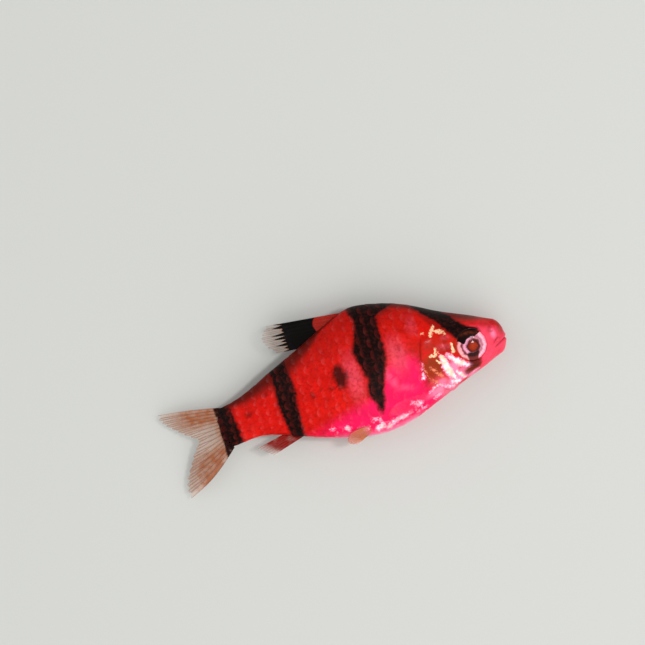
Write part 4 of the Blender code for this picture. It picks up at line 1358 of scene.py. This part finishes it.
@dataclass
class Fins:
    """Every fin, at the places of the solids."""

    sunk: float = 0.4 * MM
    tail_root: float = 0.978
    tail_wave: float = 0.4 * MM
    tail_bulge: float = 0.024
    fork: tuple[float, float, float] = (-0.018, 1.085, -0.030)
    dorsal_count: int = 9

    def edge_spot(self, column: int, root: Pair, tips: tuple[Pair, Pair], bulge: float,
                  wave: tuple[float, float, float]) -> Spot:
        """The point function of a fin laid back along the back or the belly.

        Args:
            column: The edge that it grows from: 1 for the back and 2 for the belly.
            root: The u of its first and last ray at the root.
            tips: The u of the two rays' tips, and their v.
            bulge: How far the margin bulges back, as a share of the length.
            wave: The height of its waves, how many there are, and where the first starts.

        Returns:
            The function.
        """
        height, count, start = wave
        sunk = self.sunk / FORM.length * (2 * column - 3)

        def spot(across: Array, along: Array) -> Array:
            """A point of the fin."""
            root_u = mix(*root, across)
            tip_u = mix(*tips[0], across) + bulge * np.sin(math.pi * np.minimum(1.0, across * 1.1))
            root_v, tip_v = FORM.station(root_u, column) + sunk, mix(*tips[1], across)
            ripple = height * np.sin(count * across + start) * along
            return FORM.place(mix(root_u, tip_u, along), mix(root_v, tip_v, along), ripple)

        return spot

    def tail_spot(self, outer: tuple[float, float, float], bow: float) -> Spot:
        """The point function of one lobe of the tail fin, from its outer edge in to the fork.

        Args:
            outer: The v of the outer edge's root, and the u and v of its tip.
            bow: How far the outer edge bows, as a share of the length.

        Returns:
            The function.
        """

        def spot(across: Array, along: Array) -> Array:
            """A point of the lobe."""
            root_v, tip_u, tip_v = (mix(*ends, across) for ends in zip(outer, self.fork))
            tip_u = tip_u + self.tail_bulge * np.sin(math.pi * across**0.7)
            u, v = mix(self.tail_root, tip_u, along), mix(root_v, tip_v, along)
            arch = np.sin(math.pi * along) * (1 - across)
            wave = self.tail_wave * along * arch + 0.07 * MM * np.sin(9 * across) * along
            return FORM.place(u, v + bow * arch, wave)

        return spot

    def flank_spot(self, side: Side, root: Pair, tip: Pair, widths: Pair) -> Spot:
        """The point function of a paired fin that lies folded on the flank."""
        run = np.array(tip) - np.array(root)
        across_way = np.array([-run[1], run[0]]) / np.linalg.norm(run)

        def spot(across: Array, along: Array) -> Array:
            """A point of the fin."""
            width = mix(*widths, np.sin(0.5 * math.pi * np.minimum(1.0, along * 1.25)))
            reach = along * (1 - 0.22 * (2 * across - 1) ** 2)
            u, v = (root[k] + run[k] * reach + across_way[k] * width * (across - 0.5) for k in (0, 1))
            lift = mix(0.02 * MM, 0.40 * MM, smooth(along * 1.6))
            ripple = 0.05 * MM * np.sin(12 * across) * along
            return FORM.place(u, v, side.value * (FORM.flank(u, v) + lift + ripple))

        return spot

    def dorsal_shade(self, across: Array, along: Array, u: Array, v: Array) -> tuple[Array, Array]:
        """Black over the middle and rear, red at the front and the base, clear at the tips."""
        pitches = across * (self.dorsal_count - 1)
        ray = np.rint(pitches)
        reach = 0.030 + 0.017 * np.sin(2.3 * ray) + 0.009 * np.sin(5.1 * ray)
        end = 0.708 + reach * (1 - 2 * np.abs(pitches - ray)) - 0.10 * np.maximum(0.0, 0.195 - v)
        start = 0.596 + 0.5 * np.maximum(0.0, 0.235 - v) + 0.010 * np.sin(8 * across)
        black = smooth(0.5 + (u - start) / 0.020) * smooth(0.5 + (end - u) / 0.008)
        return black * ramp(along, 0.02, 0.10), ramp(u, 0.730, 0.680)

    def tail_shade(self, across: Array, along: Array, u: Array, v: Array) -> tuple[Array, Array]:
        """Copper brown near the outer edges and the root, clear in the fork and at the tips."""
        outer = ramp(u, 1.19, 1.08) * mix(1.0, 0.15, ramp(across, 0.45, 0.85))
        return 0.62 * ramp(u, 1.019, 1.003), np.maximum(outer, 0.9 * ramp(u, 1.035, 1.005))

    def anal_shade(self, across: Array, along: Array, u: Array, v: Array) -> tuple[Array, Array]:
        """Dark red at the front and the base."""
        return 0.55 * ramp(along, 0.40, 0.10), ramp(along, 1.05, 0.65)

    def paired_shade(self, across: Array, along: Array, u: Array, v: Array) -> tuple[Array, Array]:
        """A faint tint over the middle, so that root and margin melt into the belly."""
        return np.zeros_like(u), ramp(along, 0.05, 0.40) * ramp(along, 1.05, 0.55)

    def build(self) -> None:
        """Builds and dresses all the fins."""
        red = FinFinish("fin skin over rays, red", tint="A0201A", ray="7A1610", clear="C49A74",
                        tinted_alpha=0.97, clear_alpha=0.06, ray_alpha=0.22, cloudiness=0.03).material()
        dark_red = FinFinish("fin skin over rays, dark red", tint="8E120C", ray="6E120E",
                             tinted_alpha=0.94, cloudiness=0.20).material()
        copper = FinFinish("fin skin over rays, copper", tint="A8603A", ray="7A4630", clear="DDB8A0",
                           dark="260B08", tinted_alpha=0.76, clear_alpha=0.16).material()
        amber = FinFinish("fin skin over rays, amber", tint="D07A4C", ray="B8603A", clear="F0A090",
                          tinted_alpha=0.62, clear_alpha=0.06).material()
        clear = FinFinish("fin skin over rays, clear", tint="F0406C", ray="F86A8C", clear="F890A8",
                          tinted_alpha=0.04, clear_alpha=0.02, ray_alpha=0.14).material()
        dorsal = self.edge_spot(1, (0.490, 0.668), ((0.760, 0.755), (0.268, 0.172)), 0.030,
                                (0.10 * MM, 7, 0))
        anal = self.edge_spot(2, (0.732, 0.796), ((0.862, 0.905), (-0.150, -0.112)), 0.0,
                              (0.08 * MM, 6, 1))
        RayedFin("dorsal_rays", ("dorsal_fin",), dorsal, self.dorsal_count, self.dorsal_shade,
                 notch=0.02).build(red)
        RayedFin("anal_rays", ("anal_fin",), anal, 7, self.anal_shade, rows=48).build(dark_red)
        for word, outer, bow in (("upper", (0.052, 1.192, 0.090), 0.004),
                                 ("lower", (-0.087, 1.165, -0.207), -0.014)):
            RayedFin(f"tail_rays_{word}", (f"tail_fin_{word}",), self.tail_spot(outer, bow), 9,
                     self.tail_shade, rows=76).build(copper)
        pectoral = {Side.RIGHT: ((0.316, -0.110), (0.452, -0.128), (0.020, 0.042)),
                    Side.LEFT: ((0.316, -0.124), (0.450, -0.168), (0.018, 0.030))}
        pelvic = ((0.525, -0.156), (0.612, -0.180), (0.018, 0.042))
        for side in Side:
            for kind, layout, rays, walls, finish in (
                ("pectoral", pectoral[side], 10, (0.13 * MM, 0.04 * MM), clear),
                ("pelvic", pelvic, 8, (0.15 * MM, 0.05 * MM), amber),
            ):
                word = side.name.lower()
                RayedFin(f"{kind}_rays_{word}", (f"{kind}_fin_{word}",), self.flank_spot(side, *layout),
                         rays, self.paired_shade, rows=40, ray_thickness=walls[0],
                         membrane_thickness=walls[1]).build(finish)


@dataclass
class Barbel:
    """One of the two short feelers beside the mouth."""

    side: Side
    root: Pair = (0.034, 0.008)
    length: float = 1.45 * MM
    base_radius: float = 0.12 * MM
    tip_radius: float = 0.04 * MM
    way: tuple[float, float, float] = (-0.50, -0.42, 0.76)
    sag: tuple[float, float, float] = (-0.45, -0.45, -0.35)

    def build(self) -> bpy.types.Object:
        """Models the feeler from a cylinder that is bent and tapered along its length."""
        sign = self.side.value
        there = np.array([self.root[0]]), np.array([self.root[1]])
        start = FORM.place(*there, sign * (FORM.flank(*there) - self.base_radius))[0]
        way, sag = (np.array(run) * (1, 1, sign) for run in (self.way, self.sag))
        feeler = modelled(bpy.ops.mesh.primitive_cylinder_add, vertices=16, radius=1.0, depth=1.0,
                          end_fill_type="TRIFAN")
        edit(bpy.ops.mesh.subdivide, number_cuts=4)
        x, y, z = coordinates(feeler).T
        share = z + 0.5
        radius = mix(self.base_radius, self.tip_radius, share) * np.sqrt(np.maximum(0.02, 1 - share**8))
        line = start + self.length * (way * share[:, None] + 0.5 * sag * share[:, None] ** 2)
        turn = np.array(Vector(way).to_track_quat("Z", "Y").to_matrix())
        ring = np.stack([x * radius, y * radius, np.zeros_like(radius)], axis=1)
        move_vertices(feeler, line + ring @ turn.T)
        face_outwards(feeler)
        MARKINGS.store(feeler, coordinates(feeler))
        return feeler


@dataclass
class Studio:
    """The pale floor, the soft lights and the camera."""

    frame_width: float = 85.6 * MM
    camera_height: float = 0.42
    sensor: float = 36.0
    roll_degrees: float = 17.17
    centre: Pair = (0.575, 0.2245)
    floor_size: float = 1.6
    floor_colour: str = "C6C6C1"
    sky_colour: str = "E9ECEE"
    sky_strength: float = 0.62
    lights: Rows = (
        ("key", (0.22, -0.36, 0.42), 0.95, 3.3),
        ("fill", (-0.45, 0.25, 0.40), 0.60, 0.6),
        ("glint", (0.285, -0.012, 0.53), 0.07, 1.1),
    )

    def camera(self) -> None:
        """Looks straight down on the fish with the photograph's framing."""
        data = bpy.data.cameras.new("camera")
        camera = bpy.data.objects.new("camera", data)
        bpy.context.scene.collection.objects.link(camera)
        data.sensor_width = self.sensor
        data.lens = self.sensor * self.camera_height / self.frame_width
        data.clip_start, data.clip_end = 0.01, 10.0
        x0, y0 = FORM.origin
        target = (x0 - self.centre[0] * FORM.length, y0 + self.centre[1] * FORM.length)
        camera.location = (*target, FORM.middle_height + self.camera_height)
        camera.rotation_euler = (0.0, 0.0, -math.radians(self.roll_degrees))
        bpy.context.scene.camera = camera

    def floor(self) -> None:
        """A pale matt floor."""
        floor = modelled(bpy.ops.mesh.primitive_plane_add, size=self.floor_size)
        floor.name = "floor"
        edit(bpy.ops.mesh.subdivide, number_cuts=3)
        made, node = new_finish("matt studio paper, pale grey")
        place = node("TexCoord", output="Object")
        fibres = node("TexNoise", {"Vector": place, "Scale": 1 / (0.8 * MM)})
        bumped = node("Bump", {"Strength": 0.05, "Distance": 0.02 * MM, "Height": fibres})
        floor.data.materials.append(finished(made, {
            "Normal": bumped, "Base Color": self.floor_colour, "Roughness": 0.75}))

    def light(self, name: str, place: tuple[float, float, float], size: float, power: float) -> None:
        """One soft square light that faces the fish."""
        data = bpy.data.lights.new(name, "AREA")
        data.size, data.energy = size, power
        lamp = bpy.data.objects.new(name, data)
        bpy.context.scene.collection.objects.link(lamp)
        lamp.location = place
        lamp.rotation_euler = (-Vector(place)).to_track_quat("-Z", "Y").to_euler()

    def build(self) -> None:
        """Sets the stage."""
        self.camera()
        self.floor()
        for lamp in self.lights:
            self.light(*lamp)
        world = bpy.data.worlds.new("studio")
        world.use_nodes = True
        fill(world.node_tree.nodes["Background"], {"Color": self.sky_colour, "Strength": self.sky_strength})
        bpy.context.scene.world = world
        bpy.context.scene.view_settings.view_transform = "Standard"


def main() -> None:
    """Builds the pieces in order."""
    logging.basicConfig(level=logging.INFO, format="%(relativeCreated)6.0f ms  %(message)s")
    Studio().build()
    flesh = ("head", "lower_jaw", "gill_cover_right", "gill_cover_left", "trunk", "tail_stalk")
    skin_finish = FishFinish("fish skin, wet").material()
    scale_finish = FishFinish("fish scales, wet", has_plates=True).material()
    iris = EyeFinish("cornea over iris").material()
    settle(Skin().build(), "skin", skin_finish, flesh)
    for side in Side:
        word = side.name.lower()
        settle(Scales(side).build(), f"scales_{word}", scale_finish, ())
        settle(Eye(side).build(), f"eyeball_{word}", iris, (f"eye_{word}",))
        settle(Barbel(side).build(), f"barbel_{word}", skin_finish, ())
    Fins().build()


if __name__ == "__main__":
    main()
